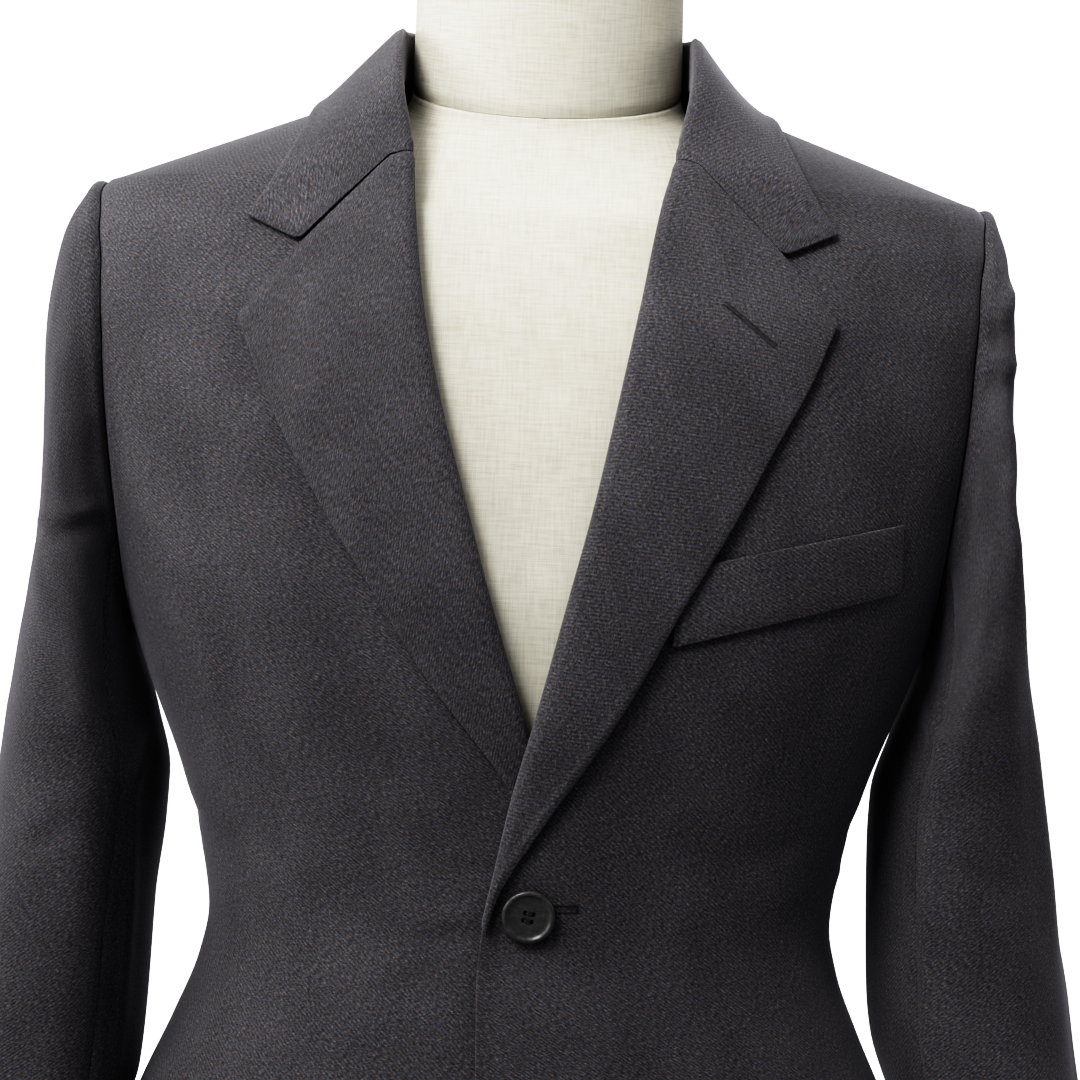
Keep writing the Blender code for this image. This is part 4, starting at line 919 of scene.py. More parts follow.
def lapel(name, side, edge, outer_edge, bottom, corner_height, rest, lift, finish):
    """A lapel: under the panel's inner edge, round the roll and out over the chest.

    bottom is the height of its lower end, at the roll and at the outer edge."""
    roll_bottom, edge_bottom = bottom
    grid = []
    steps = leaf_steps(LAPEL_WIDTH)
    for along in spaced(LAPEL_LENGTH, LAPEL_STEP, LEAF_WALL):
        roll_height = mix(roll_bottom, GORGE_START[1], along) - SEAM_GAP / 2
        edge_height = mix(edge_bottom, corner_height, along)
        roll_x, edge_x = edge("x", roll_height), outer_edge("x", edge_height)
        bend = smoothstep(*GORGE_BEND, along)

        def leaf(across, out):
            across = np.asarray(across, float)
            height = mix(roll_height, edge_height, across) + bend * gorge_rise(across)
            return front_point(mix(roll_x, edge_x, across), height, out, lift)

        start = leaf(0.0, 0.0)
        length = np.linalg.norm(leaf(1.0, 0.0) - start)
        aside, outward = unit(leaf(ASIDE, 0.0) - start), unit(leaf(0.0, OFF) - start)
        path = [(UNDER_REACH * share, FOLD_MIDDLE - FOLD_RADIUS) for share in UNDER_SHARES]
        path += [fold_point(turn, FOLD_MIDDLE) for turn in FOLD_TURNS]
        row = [start + aside * a + outward * b for a, b in path]
        belly = LAPEL_BELLY * smoothstep(*BELLY_LENGTHS, length) * (1 - bend)
        across = mix(min(LEAF_START / length, MOST_LEAF_START), 1.0, steps)
        seat = rest("rest", along) * smoothstep(*REST_RISE, steps)
        out = LEAF_TOP + seat + belly * np.sin(np.pi * across)
        grid.append(np.concatenate((row, leaf(across, out))))
    face = np.array(grid)
    uv = turned_map(grid_map(face), LAPEL_GRAIN[side])
    sides = ("edge", "seam", "", "edge")
    return shell(name, face, LEAF_WALL, uv, sides, finish, flip=side < 0)


def gorge_rise(across):
    """How far the gorge seam stands above a straight line, across the lapel."""
    return np.interp(across, GORGE_ACROSS, GORGE_RISE)


def make_lapels(cloth):
    left = lapel(
        "coat_lapel_left", 1, LEFT_EDGE, LEFT_LAPEL, (1.0600, 1.0570), 1.3445,
        LEFT_REST, left_lift, cloth,
    )
    right = lapel(
        "coat_lapel_right", -1, RIGHT_EDGE, RIGHT_LAPEL, (1.1190, 1.1160), 1.3400,
        RIGHT_REST, no_lift, cloth,
    )
    dress(left, "lapel_left")
    dress(right, "lapel_right")


def collar_seat(station, across, side):
    """Angle and height on the coat, from the collar's neck seam (0) to its fall's edge (1)."""
    across = np.asarray(across, float)
    if station > SHOULDER_STATION:
        neck, edge = COLLAR_BEHIND("neck_angle", station), COLLAR_BEHIND("edge_angle", station)
        height = mix(NECK_HEIGHT, COLLAR_BEHIND("edge_height", station), across)
        return side * mix(neck, edge, across), height
    at_gorge = 1 - smoothstep(*GORGE_FADE, station)
    height = mix(COLLAR_FRONT("neck_height", station), COLLAR_FRONT("edge_height", station), across)
    height = height + (collar_gorge_rise(across) + SEAM_GAP / 2) * at_gorge
    x = mix(COLLAR_FRONT("neck_x", station), COLLAR_FRONT("edge_x", station), across)
    return side * angle_at(x, height), height


def collar_gorge_rise(across):
    """How far the collar's end stands above a straight line: the seam, then the notch."""
    neck, corner, lapel_corner = GORGE_START, COLLAR_CORNER, LAPEL_CORNER
    x = mix(neck[0], corner[0], across)
    along = (x - neck[0]) / (lapel_corner[0] - neck[0])
    seam = mix(neck[1], lapel_corner[1], along) + gorge_rise(along)
    notch = mix(neck[1], lapel_corner[1], NOTCH_ACROSS) + gorge_rise(NOTCH_ACROSS)
    end = mix(notch, corner[1], (across - NOTCH_ACROSS) / (1 - NOTCH_ACROSS))
    return np.where(across < NOTCH_ACROSS, seam, end) - mix(neck[1], corner[1], across)


def collar_row(station, side, steps):
    """One line of the collar: up its stand, over the fold and down its fall.

    At the gorge it is turned under like the lapel, which fades into the upright stand."""
    front = station <= SHOULDER_STATION
    fold = COLLAR_FRONT("fold", station) if front else COLLAR_BEHIND("fold", station)
    upright = COLLAR_FRONT("upright", station) if front else 1.0
    at_gorge = 1 - smoothstep(*GORGE_FADE, station)
    turned_under = 1 - smoothstep(*TURNED_FADE, station)

    start = skin_point(*collar_seat(station, 0.0, side))
    normal = skin_normal(*collar_seat(station, 0.0, side))
    up = unit(mix(normal, np.array((0.0, 0.0, 1.0)), upright))
    away = skin_point(*collar_seat(station, COLLAR_ASIDE, side)) - start
    away = unit(away - up * np.dot(away, up))
    length = np.linalg.norm(skin_point(*collar_seat(station, 1.0, side)) - start)

    top = max(fold, LEAF_TOP) - FOLD_RADIUS
    foot = mix(FOLD_MIDDLE - FOLD_RADIUS, STAND_FOOT, smoothstep(*FOOT_RISE, station))
    path = [(UNDER_REACH * turned_under, foot)]
    for share, turn in zip(STAND_SHARES, STAND_TURNS):
        stand = np.array((0.0, mix(foot, top, share)))
        path.append(mix(stand, np.array(fold_point(turn, FOLD_MIDDLE)), turned_under))
    path += [fold_point(turn, top) for turn in TOP_TURNS]
    row = [start + away * a + up * b for a, b in path]

    first = LEAF_START / mix(length, GORGE_LENGTH, at_gorge)
    edge_rest = LEAF_TOP + mix(COLLAR_REST, LEAF_REST, at_gorge)
    behind = smoothstep(SHOULDER_STATION, 1.0, station)
    sweep = mix(COLLAR_SWEEP[side], COLLAR_SWEEP_BEHIND, behind)
    angle, height = collar_seat(station, mix(first, 1.0, steps), side)
    direction = unit(mix(up, skin_normal(angle, height), steps[:, None]))
    rest = mix(LEAF_TOP, edge_rest, smoothstep(*REST_RISE, steps))
    out = rest + (np.maximum(fold, rest) - rest) * (1 - steps) ** sweep
    return np.concatenate((row, cloth_point(angle, height) + direction * out[:, None]))


def make_collar(cloth):
    side_rows = spaced(COLLAR_SIDE_LENGTH, LEAF_STEP, LEAF_WALL)[:1 - len(EDGE_LINES)]
    back_rows = np.linspace(SHOULDER_STATION, 1.0, COLLAR_BACK_ROWS)
    stations = np.unique(np.concatenate((side_rows * SHOULDER_STATION, back_rows)))
    steps = leaf_steps(COLLAR_WIDTH)
    left = [collar_row(station, 1, steps) for station in stations]
    right = [collar_row(station, -1, steps) for station in stations[:-1]]
    face = np.array(left + right[::-1])
    uv = turned_map(grid_map(face), 90)
    made = shell("coat_collar", face, LEAF_WALL, uv, ("seam", "seam", "", "edge"), cloth)
    dress(made, "collar")


# ---------------------------------------------------------------- sleeves

# The armhole's turnings: how far in from its edge each of their lines lies
TURNING_INSETS = (
    -0.0070, -0.0066, -0.0050, -0.0034, -0.0020, -0.0006, 0.0008, 0.0022, 0.0034, 0.0038,
)
TURNING_ROWS = 181
TURNING_WALL = 0.0006
TURNING_OUT = -WALL - 0.0005

# The radius at which a sleeve's columns are spaced, and their step
SLEEVE_RADIUS, SLEEVE_STEP = 0.06, 0.0026
CAP_LENGTH, ARM_LENGTH = 0.20, 0.35
ARM_DROP = 0.01
CAP_ARRIVAL = 0.42
HEAD_FADE = (0.0, 0.12)
SLEEVE_CREASE_FADE = (0.0, 0.10)


def armhole_point(turn, side, inset=ARMHOLE_CLEARANCE, out=0.0):
    """A point of the armhole's edge, or inset from it and moved out from the body."""
    height = armhole_height(turn, inset)
    behind = np.cos(np.radians(turn)) < 0
    depth = armhole_depth(height, behind, inset)
    return cloth_point(side * angle_at_depth(depth, height, behind), height, out)


def make_turnings(cloth):
    """The seam's turnings inside each armhole, which close the seam from within."""
    turns = np.linspace(0.0, 360.0, TURNING_ROWS)
    out = np.float64(TURNING_OUT)
    for label, side in (("left", 1), ("right", -1)):
        face = np.array([armhole_point(turns, side, inset, out) for inset in TURNING_INSETS])
        made = shell(
            f"coat_armhole_turning_{label}", face, TURNING_WALL, grid_map(face),
            ("", "", "", ""), cloth, flip=side < 0,
        )
        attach(made, "root")


def sleeve_ring(turn, height, side):
    """Points of the sleeve's outer face below the armpit, at turns from its front outward."""
    turn, height = np.broadcast_arrays(np.asarray(turn, float), np.asarray(height, float))
    label = "left" if side > 0 else "right"
    inner, outer = SLEEVE("inner_" + label, height), SLEEVE("outer_" + label, height)
    across, ahead = np.sin(np.radians(turn)), np.cos(np.radians(turn))
    reach = (np.abs(across) ** SLEEVE_POWER + np.abs(ahead) ** SLEEVE_POWER) ** (-1 / SLEEVE_POWER)
    away = (turn - SLEEVE_RIDGE_ANGLE + 180) % 360 - 180
    reach = reach * (1 + SLEEVE_RIDGE * np.exp(-((away / SLEEVE_RIDGE_WIDTH) ** 2)))
    x = (inner + outer) / 2 + (outer - inner) / 2 * across * reach
    y = SLEEVE("middle", height) - SLEEVE("half_depth", height) * ahead * reach
    return np.stack((side * x, y, height), -1)


def sleeve_point(turn, along, side):
    """The sleeve's outer face: 0 to 1 runs over the cap, 1 to 2 down to the cuff."""
    turn, along = np.broadcast_arrays(np.asarray(turn, float), np.asarray(along, float))
    low = sleeve_ring(turn, mix(BICEPS_HEIGHT, CUFF_HEIGHT, np.maximum(along, 1) - 1), side)
    start, end = armhole_point(turn, side), sleeve_ring(turn, BICEPS_HEIGHT, side)
    lower = sleeve_ring(turn, BICEPS_HEIGHT - ARM_DROP, side)
    across, ahead = np.sin(np.radians(turn)), np.cos(np.radians(turn))
    top = np.maximum(across, 0.0)
    # out and forward from the body at the head, and down at the armpit
    leave = (side * (0.30 + 0.70 * top), -0.30 * ahead, 0.16 * top - 0.55 * (1 - across))
    drop = (start[..., 2] - end[..., 2])[..., None]
    first = start + unit(np.stack(leave, -1)) * (CAP_LEAVE + CAP_FULLNESS * drop)
    last = end + unit(end - lower) * drop * CAP_ARRIVAL
    t = np.minimum(along, 1)[..., None]
    cap = curve(t, start, first, last, end)
    fuller = SLEEVE_HEAD("left" if side > 0 else "right", cap[..., 2])
    cap[..., 0] += side * fuller * smoothstep(*HEAD_FADE, t[..., 0]) * top**2
    return np.where((along >= 1)[..., None], low, cap)


def sleeve_piece(name, side, first_step, last_step, finish):
    """One piece of a sleeve, between seams at these steps round the armhole."""
    hairline = math.degrees(SEAM_GAP / 2 / SLEEVE_RADIUS)
    first = 360 * first_step / (2 * ARMHOLE_STEPS) + hairline
    last = 360 * last_step / (2 * ARMHOLE_STEPS) - hairline
    ends = math.radians(first) * SLEEVE_RADIUS, math.radians(last) * SLEEVE_RADIUS
    turns = np.degrees(ruled(*ends, SLEEVE_STEP, WALL * RIM) / SLEEVE_RADIUS)
    cap = spaced(CAP_LENGTH, PANEL_STEP, WALL)[:1 - len(EDGE_LINES)]
    arm = spaced(ARM_LENGTH, PANEL_STEP, WALL)[len(EDGE_LINES) - 1:]
    alongs = np.concatenate((cap, 1 + arm))[:, None]
    face = sleeve_point(turns[None], alongs, side)
    normal = grid_normals(face, side > 0)
    creased = relief(face, normal, SLEEVE_CREASES[side]) * smoothstep(*SLEEVE_CREASE_FADE, alongs)
    face = face + normal * creased[..., None]
    uv = grid_map(face) * (-side, -1)
    sides = ("rope", "edge", "seam", "seam")
    return shell(name, face, WALL, uv, sides, finish, flip=side > 0)


def make_sleeves(cloth):
    round_again = 2 * ARMHOLE_STEPS + FORESEAM_STEP
    for label, side in (("left", 1), ("right", -1)):
        sleeve = f"sleeve_{label}"
        upper = sleeve_piece(f"coat_{sleeve}_upper", side, FORESEAM_STEP, HINDSEAM_STEP, cloth)
        under = sleeve_piece(f"coat_{sleeve}_under", side, HINDSEAM_STEP, round_again, cloth)
        dress(upper, f"{sleeve}_upper")
        dress(under, f"{sleeve}_under")


# ---------------------------------------------------------------- pockets

POCKET_STEP = 0.004
WELT_SIZE = (0.115, 0.033)
FLAP_LENGTH = 0.15


def make_welt(cloth):
    across, up = (spaced(length, POCKET_STEP, WELT_WALL) for length in WELT_SIZE)
    x = mix(WELT_INNER_X, WELT_OUTER_X, across)[None]
    height = mix(mix(*WELT_BOTTOM, across)[None], mix(*WELT_TOP, across)[None], up[:, None])
    face = front_point(x, height, LAYER_GAP + WELT_WALL, left_lift)
    sides = ("seam", "edge", "seam", "seam")
    made = shell("coat_welt", face, WELT_WALL, grid_map(face), sides, cloth)
    dress(made, "breast_welt")


def make_flaps(cloth):
    for label, side in (("left", 1), ("right", -1)):
        across = spaced(FLAP_LENGTH, POCKET_STEP, FLAP_WALL)
        up = spaced(FLAP_DEPTH, POCKET_STEP, FLAP_WALL)
        angle = side * mix(*FLAP_ANGLES, across)[None]
        height = mix(*FLAP_TOP, across)[None] - FLAP_DEPTH * (1 - up[:, None])
        angle, height = np.broadcast_arrays(angle, height)
        face = cloth_point(angle, height, np.full(angle.shape, LAYER_GAP + FLAP_WALL))
        made = shell(
            f"coat_flap_{label}", face, FLAP_WALL, grid_map(face),
            ("edge", "seam", "edge", "edge"), cloth, flip=side < 0,
        )
        dress(made, f"hip_flap_{label}")


# ---------------------------------------------------------------- hand sewing, and threads of painted shade down the slits and darts

STITCH_PITCH = 0.00055
STITCH_RADIUS = 0.00022
STITCH_SLANT = 0.0002
STITCH_SHARES = (0.0, 0.35, 0.7, 1.0)
BAR_STEPS = (0.0, 0.0005, 0.0010)
BAR_SHARES = (-1.1, -0.5, 0.0, 0.5, 1.1)
SLIT_POINTS = 12

# A front buttonhole, from its button's middle: how far up it lies, where it starts and ends,
# and how much higher its outer end is
HOLE_RISE = 0.0030
HOLE_START = 0.002
HOLE_LENGTH = 0.0220
HOLE_TILT = 0.0006
HOLE_LIPS = (0.0012, 0.0020)
LAPEL_HOLE = ((0.0860, 1.3530), (0.1090, 1.3345))
LAPEL_HOLE_LIPS = (0.0004, 0.0012)
# A front dart's seam line, from its top to its end. It is drawn as a grey thread sunk into the
# cloth, as painted shade of the seam's groove.
DART_X = (0.1540, 0.1525)
DART_HEIGHT = (1.1850, 1.1690)
DART_SINK = 0.00005


def over(tree, x, height, out):
    """The point of a piece that lies behind (x, height) seen from the front, moved out."""
    place, normal = tree.ray_cast(Vector((x, -1.0, height)), Vector((0.0, 1.0, 0.0)))[:2]
    return place + normal * out


def worked_hole(name, piece, start, end, lips, thread):
    """A buttonhole: two lips of close stitches along a slit, barred at its far end, with a thread
    down the slit itself as painted shade of its opening.

    lips are the distances from the slit at which its stitches begin and end."""
    tree = BVHTree.FromObject(piece, bpy.context.evaluated_depsgraph_get())
    start, end = np.array(start), np.array(end)
    way = (end - start) / np.linalg.norm(end - start)
    off = np.array((-way[1], way[0]))
    stitches = []
    for along in np.arange(0.0, np.linalg.norm(end - start), STITCH_PITCH):
        for side in (1, -1):
            line = []
            for share in STITCH_SHARES:
                at = start + way * (along + STITCH_SLANT * share) + off * side * mix(*lips, share)
                rise = 1.5 * math.sin(math.pi * (0.15 + 0.7 * share)) - 0.5
                line.append(over(tree, *at, STITCH_RADIUS * rise))
            stitches.append(line)
    for step in BAR_STEPS:
        bar = [end + way * step + off * lips[1] * share for share in BAR_SHARES]
        stitches.append([over(tree, *at, STITCH_RADIUS * 0.8) for at in bar])
    # A thread down the middle of the slit, half sunk in the cloth: painted shade where the cut
    # would open.
    slit = [start + (end - start) * share for share in np.linspace(0, 1, SLIT_POINTS)]
    stitches.append([over(tree, *at, 0.0) for at in slit])
    return tubes(name, stitches, STITCH_RADIUS, thread, sides=5)


def make_sewing(thread, grey_thread_and_shade_lines):
    pieces = bpy.data.objects
    front, lapel_left = pieces["coat_front_left"], pieces["coat_lapel_left"]
    for number in range(1, BUTTON_COUNT + 1):
        height = button_height(number) + HOLE_RISE
        start = (BUTTON_X + HOLE_START, height)
        end = (BUTTON_X + HOLE_LENGTH, height + HOLE_TILT)
        worked_hole(f"buttonhole_{number}", front, start, end, HOLE_LIPS, thread)
    worked_hole("buttonhole_lapel", lapel_left, *LAPEL_HOLE, LAPEL_HOLE_LIPS, grey_thread_and_shade_lines)
    # The darts' seam lines: grey threads sunk into each front as painted shade of their grooves.
    for label, side in (("left", 1), ("right", -1)):
        piece = pieces[f"coat_front_{label}"]
        tree = BVHTree.FromObject(piece, bpy.context.evaluated_depsgraph_get())
        line = [
            over(tree, side * mix(*DART_X, share), mix(*DART_HEIGHT, share), -DART_SINK)
            for share in np.linspace(0, 1, 14)
        ]
        tubes(f"dart_shade_{label}", [line], STITCH_RADIUS, grey_thread_and_shade_lines, sides=5)


# ---------------------------------------------------------------- buttons, form and stand

BUTTON_PROFILE = (
    # share of the radius, share of the thickness
    (0.0, 0.60), (0.60, 0.60), (0.70, 0.62), (0.77, 0.70), (0.82, 0.84), (0.855, 0.95),
    (0.88, 0.99), (0.91, 0.99), (0.925, 0.92), (0.955, 0.89), (0.985, 0.79), (1.00, 0.58),
    (0.97, 0.35), (0.80, 0.02), (0.40, 0.00), (0.0, 0.0),
)
BUTTON_LEAST_SHARE = 0.004
BUTTON_FACE = 0.60
BUTTON_TILT = math.radians(-12)
BUTTON_TURN = 0.4
BUTTON_SHARP = math.radians(38)
# The four holes: their radius, their sides and how far they lie from the button's middle
BORE_RADIUS, BORE_SIDES, BORE_LENGTH = 0.00105, 28, 0.02
BORE_OUT = 0.0026
# The thread: how far its strands lie apart and above the face, and sink at their ends
THREAD_RADIUS = 0.00032
THREAD_SHIFT, THREAD_RISE, THREAD_SINK = 0.00035, 0.00035, 0.0016


def turned(name, profile, sides, finish):
    """A surface turned about Z from (radius, height) points listed from its top down."""
    turns = np.linspace(0, 2 * np.pi, sides, endpoint=False)
    profile = np.array(profile, float)
    radius, height = profile[:, :1], np.broadcast_to(profile[:, 1:], (len(profile), sides))
    grid = np.stack((radius * np.cos(turns), radius * np.sin(turns), height), -1)
    index = np.arange(len(profile) * sides).reshape(len(profile), sides)
    return add_mesh(name, grid.reshape(-1, 3), ring_quads(index)[:, ::-1], None, finish)


def smooth_profile(rows, count):
    """An evenly spaced profile through rows of (radius, height)."""
    rows = np.array(rows, float)
    marks = lengths_along(rows)
    table = Table(("mark", "radius", "height"), np.column_stack((marks, rows)))
    even = np.linspace(0, marks[-1], count)
    return np.stack((table("radius", even), table("height", even)), -1)


def close(piece, weld=False):
    """Fills a piece's open ends. Welding joins its seam as well."""
    edit = bmesh.new()
    edit.from_mesh(piece.data)
    if weld:
        bmesh.ops.remove_doubles(edit, verts=edit.verts, dist=1e-6)
    bmesh.ops.holes_fill(edit, edges=[edge for edge in edit.edges if edge.is_boundary])
    if weld:
        bmesh.ops.recalc_face_normals(edit, faces=edit.faces)
    edit.to_mesh(piece.data)
    edit.free()


def button_height(number):
    return BUTTON_TOP - (number - 1) * BUTTON_SPACING


def button_seat(number):
    """Where a button lies on the left front. Its Z looks out of the cloth."""

    def at(x, rise, out=0):
        return front_point(BUTTON_X + x, button_height(number) + rise, out, left_lift)

    seat = at(0, 0, BUTTON_SEAT)
    side = unit(at(BUTTON_RADIUS, 0) - at(-BUTTON_RADIUS, 0))
    rise = at(0, BUTTON_RADIUS) - at(0, -BUTTON_RADIUS)
    outward = unit(np.cross(side, rise))
    up = np.cross(outward, side)
    return Matrix([[side[i], up[i], outward[i], seat[i]] for i in range(3)] + [[0, 0, 0, 1]])


def bore(button, spots):
    """Cuts a round hole through a button at each spot."""
    edit = bmesh.new()
    for spot in spots:
        made = bmesh.ops.create_cone(
            edit, cap_ends=True, segments=BORE_SIDES, radius1=BORE_RADIUS, radius2=BORE_RADIUS,
            depth=BORE_LENGTH,
        )
        bmesh.ops.translate(edit, verts=made["verts"], vec=spot)
    mesh = bpy.data.meshes.new("holes")
    edit.to_mesh(mesh)
    edit.free()
    cutter = bpy.data.objects.new("holes", mesh)
    bpy.context.scene.collection.objects.link(cutter)
    cut = button.modifiers.new("holes", "BOOLEAN")
    cut.operation = "DIFFERENCE"
    cut.object = cutter
    shown = bpy.context.evaluated_depsgraph_get()
    button.data = bpy.data.meshes.new_from_object(button.evaluated_get(shown))
    button.modifiers.clear()
    bpy.data.objects.remove(cutter)


def strand(place, start, end, shift):
    """A thread over a button's face from one hole to the next, sinking into both."""
    way = (end - start).normalized()
    sideways = Vector((-way.y, way.x, 0)) * shift
    line = []
    for t in np.linspace(0, 1, 9):
        point = start.lerp(end, t) + sideways
        point.z = BUTTON_THICKNESS * BUTTON_FACE + THREAD_RISE - THREAD_SINK * abs(2 * t - 1) ** 6
        line.append(place @ point)
    return line


def make_buttons(horn, thread):
    profile = [
        (max(radius, BUTTON_LEAST_SHARE) * BUTTON_RADIUS, height * BUTTON_THICKNESS)
        for radius, height in BUTTON_PROFILE
    ]
    for number in range(1, BUTTON_COUNT + 1):
        place = button_seat(number)
        tilt = BUTTON_TILT + (number - 1) * BUTTON_TURN
        turns = [math.pi / 4 + k * math.pi / 2 + tilt for k in range(4)]
        spots = [Vector((BORE_OUT * math.cos(t), BORE_OUT * math.sin(t), 0.0)) for t in turns]
        button = turned(f"horn_button_{number}", smooth_profile(profile, 60), 96, horn)
        close(button)
        bore(button, spots)
        button.data.shade_smooth()
        button.data.set_sharp_from_angle(angle=BUTTON_SHARP)
        button.matrix_world = place
        dress(button, f"button_{number}")
        strands = [
            strand(place, spots[a], spots[b], shift)
            for a, b in ((0, 1), (2, 3))
            for shift in (-THREAD_SHIFT, THREAD_SHIFT)
        ]
        tubes(f"button_{number}_thread", strands, THREAD_RADIUS, thread)


TUBE_END = 0.35
UPRIGHT = 0.8


def tubes(name, lines, radius, finish, sides=6):
    """Round threads along lists of points, as one piece."""
    verts, faces, total = [], [], 0
    turn = np.linspace(0, 2 * np.pi, sides, endpoint=False)[:, None]
    for line in lines:
        line = np.array([tuple(p) for p in line], float)
        way = unit(np.gradient(line, axis=0))
        upright = abs(way[:, 2]).mean() >= UPRIGHT
        one = unit(np.cross(way, (1.0, 0.0, 0.0) if upright else (0.0, 0.0, 1.0)))
        two = np.cross(way, one)
        around = one[:, None] * np.cos(turn) + two[:, None] * np.sin(turn)
        taper = np.ones(len(line))
        taper[0] = taper[-1] = TUBE_END
        ring = line[:, None] + radius * taper[:, None, None] * around
        index = np.arange(len(line) * sides).reshape(len(line), sides) + total
        faces.append(ring_quads(index))
        verts.append(ring.reshape(-1, 3))
        total += len(line) * sides
    made = add_mesh(name, np.concatenate(verts), np.concatenate(faces), None, finish)
    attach(made, "root")
    return made


# How far the form lies inside the coat's outer face, at its sides, front and back
FORM_EASE = Table(
    ("height", "side", "front", "back"),
    [
        (0.70, 0.036, 0.022, 0.022), (0.85, 0.030, 0.018, 0.018), (0.92, 0.024, 0.015, 0.015),
        (1.00, 0.013, 0.010, 0.011), (1.06, 0.011, 0.009, 0.010), (1.15, 0.016, 0.009, 0.010),
        (1.25, 0.024, 0.009, 0.010), (1.34, 0.028, 0.009, 0.010), (1.395, 0.030, 0.010, 0.012),
    ],
)
FORM_COLUMNS = 144
TORSO_ROWS = 120
SHOULDER_ROWS = np.concatenate((np.linspace(0, 0.97, 60)[1:], (0.985, 0.994, 1.0)))
SHOULDER_LEAVE = 0.55
NECK_FLARE = 0.022
NECK_FLARE_TILT = 0.12
# The neck's seam: how far it dips, over what share of the shoulder and of the neck
NECK_DIP, SHOULDER_DIP_SHARE, NECK_DIP_SHARE = 0.0012, 0.015, 0.05
NECK_ROWS = np.concatenate(((0.0, 0.015, 0.04), np.linspace(0.08, 0.90, 30)))
NECK_TAPER = 0.001
NECK_LEVEL = 1.1
# The neck's rounded top: how far below it each ring lies, and how much wider it is
NECK_ROUND = ((0.006, -0.001), (0.003, -0.0016), (0.0012, -0.0032), (0.0, -0.008), (0.0, -0.03))
# The upright seams: how deep they are and half their width
TORSO_SEAM = (0.0009, 0.0016)
NECK_SEAM = (0.0007, 0.0014)
FORM_SHARP = math.radians(50)


def form_ring(height):
    """The torso's outline at a height, from centre front round over its left side."""
    half_width, front, back, power = section(np.asarray(height, float))
    half_width = half_width - FORM_EASE("side", height)
    front, back = front - FORM_EASE("front", height), back - FORM_EASE("back", height)
    turn = np.linspace(0, 2 * np.pi, FORM_COLUMNS, endpoint=False)
    side, ahead = np.sin(turn), np.cos(turn)
    reach = (np.abs(side) ** power + np.abs(ahead) ** power) ** (-1 / power)
    depth = np.where(ahead > 0, front, back)
    x, y = half_width * side * reach, -depth * ahead * reach
    return np.stack((x, y, np.full(turn.shape, height)), -1)


def neck_ring(height, swell=0.0, tilt=NECK_SEAM_TILT):
    """The neck's outline at a height, tilted up towards the back."""
    turn = np.linspace(0, 2 * np.pi, FORM_COLUMNS, endpoint=False)
    x = (NECK_COLUMN_WIDTH + swell) * np.sin(turn)
    y = NECK_COLUMN_MIDDLE - (NECK_COLUMN_DEPTH + swell) * np.cos(turn)
    return np.stack((x, y, height + tilt * y), -1)


def seam_groove(rings, columns, depth, half_width):
    """Draws a ring grid in along vertical seams at these columns."""
    middle = rings.mean(axis=1, keepdims=True)
    for column in columns:
        away = np.linalg.norm(rings - rings[:, column][:, None], axis=2)
        dip = depth * np.exp(-((away / half_width) ** 2))
        rings = rings - unit(rings - middle) * dip[..., None]
    return rings


def form_piece(name, rings, node, finish):
    """A closed form from rings of points, its cloth map measured both ways from its front."""
    closed = np.concatenate((rings, rings[:, :1]), axis=1)
    around = lengths_across(closed)
    past_back = np.arange(FORM_COLUMNS + 1) > FORM_COLUMNS // 2
    around = np.where(past_back, around - around[:, -1:], around)
    uv = cloth_map(around, lengths_along(rings[:, 0]))
    rows, columns = closed.shape[:2]
    index = np.arange(rows * columns).reshape(rows, columns)
    made = add_mesh(name, closed.reshape(-1, 3), quads(index), uv.reshape(-1, 2), finish)
    close(made, weld=True)
    made.data.shade_smooth()
    made.data.set_sharp_from_angle(angle=FORM_SHARP)
    return dress(made, node)


def make_form(linen):
    body = [form_ring(height) for height in np.linspace(TORSO_BOTTOM, TORSO_FLAT_TOP, TORSO_ROWS)]
    low, high = body[-1], neck_ring(NECK_SEAM_HEIGHT - SEAM_GAP)
    foot = neck_ring(NECK_SEAM_HEIGHT - NECK_FLARE, tilt=NECK_FLARE_TILT)
    for t in SHOULDER_ROWS:
        ring = curve(t, low, mix(low, foot, SHOULDER_LEAVE), foot, high)
        dip = NECK_DIP * smoothstep(1 - SHOULDER_DIP_SHARE, 1.0, t)
        body.append(ring - unit(ring - ring.mean(0)) * dip)
    rings = seam_groove(np.array(body), (0, FORM_COLUMNS // 2), *TORSO_SEAM)
    torso = form_piece("linen_torso", rings, "form_torso", linen)
    neck = []
    for share in NECK_ROWS:
        swell = -NECK_TAPER * share - NECK_DIP * (1 - smoothstep(0.0, NECK_DIP_SHARE, share))
        tilt = NECK_SEAM_TILT * max(0.0, 1 - share * NECK_LEVEL)
        neck.append(neck_ring(mix(NECK_SEAM_HEIGHT, NECK_TOP, share), swell, tilt))
    for drop, swell in NECK_ROUND:
        neck.append(neck_ring(NECK_TOP - drop, swell, 0.0))
    rings = seam_groove(np.array(neck), (FORM_COLUMNS // 2,), *NECK_SEAM)
    column = form_piece("linen_neck", rings, "form_neck", linen)


HUB_HEIGHT = 0.030
POLE_BEVEL = 0.0003
AXIS = 0.0001
POLE_SHARP, BASE_SHARP = math.radians(40), math.radians(45)


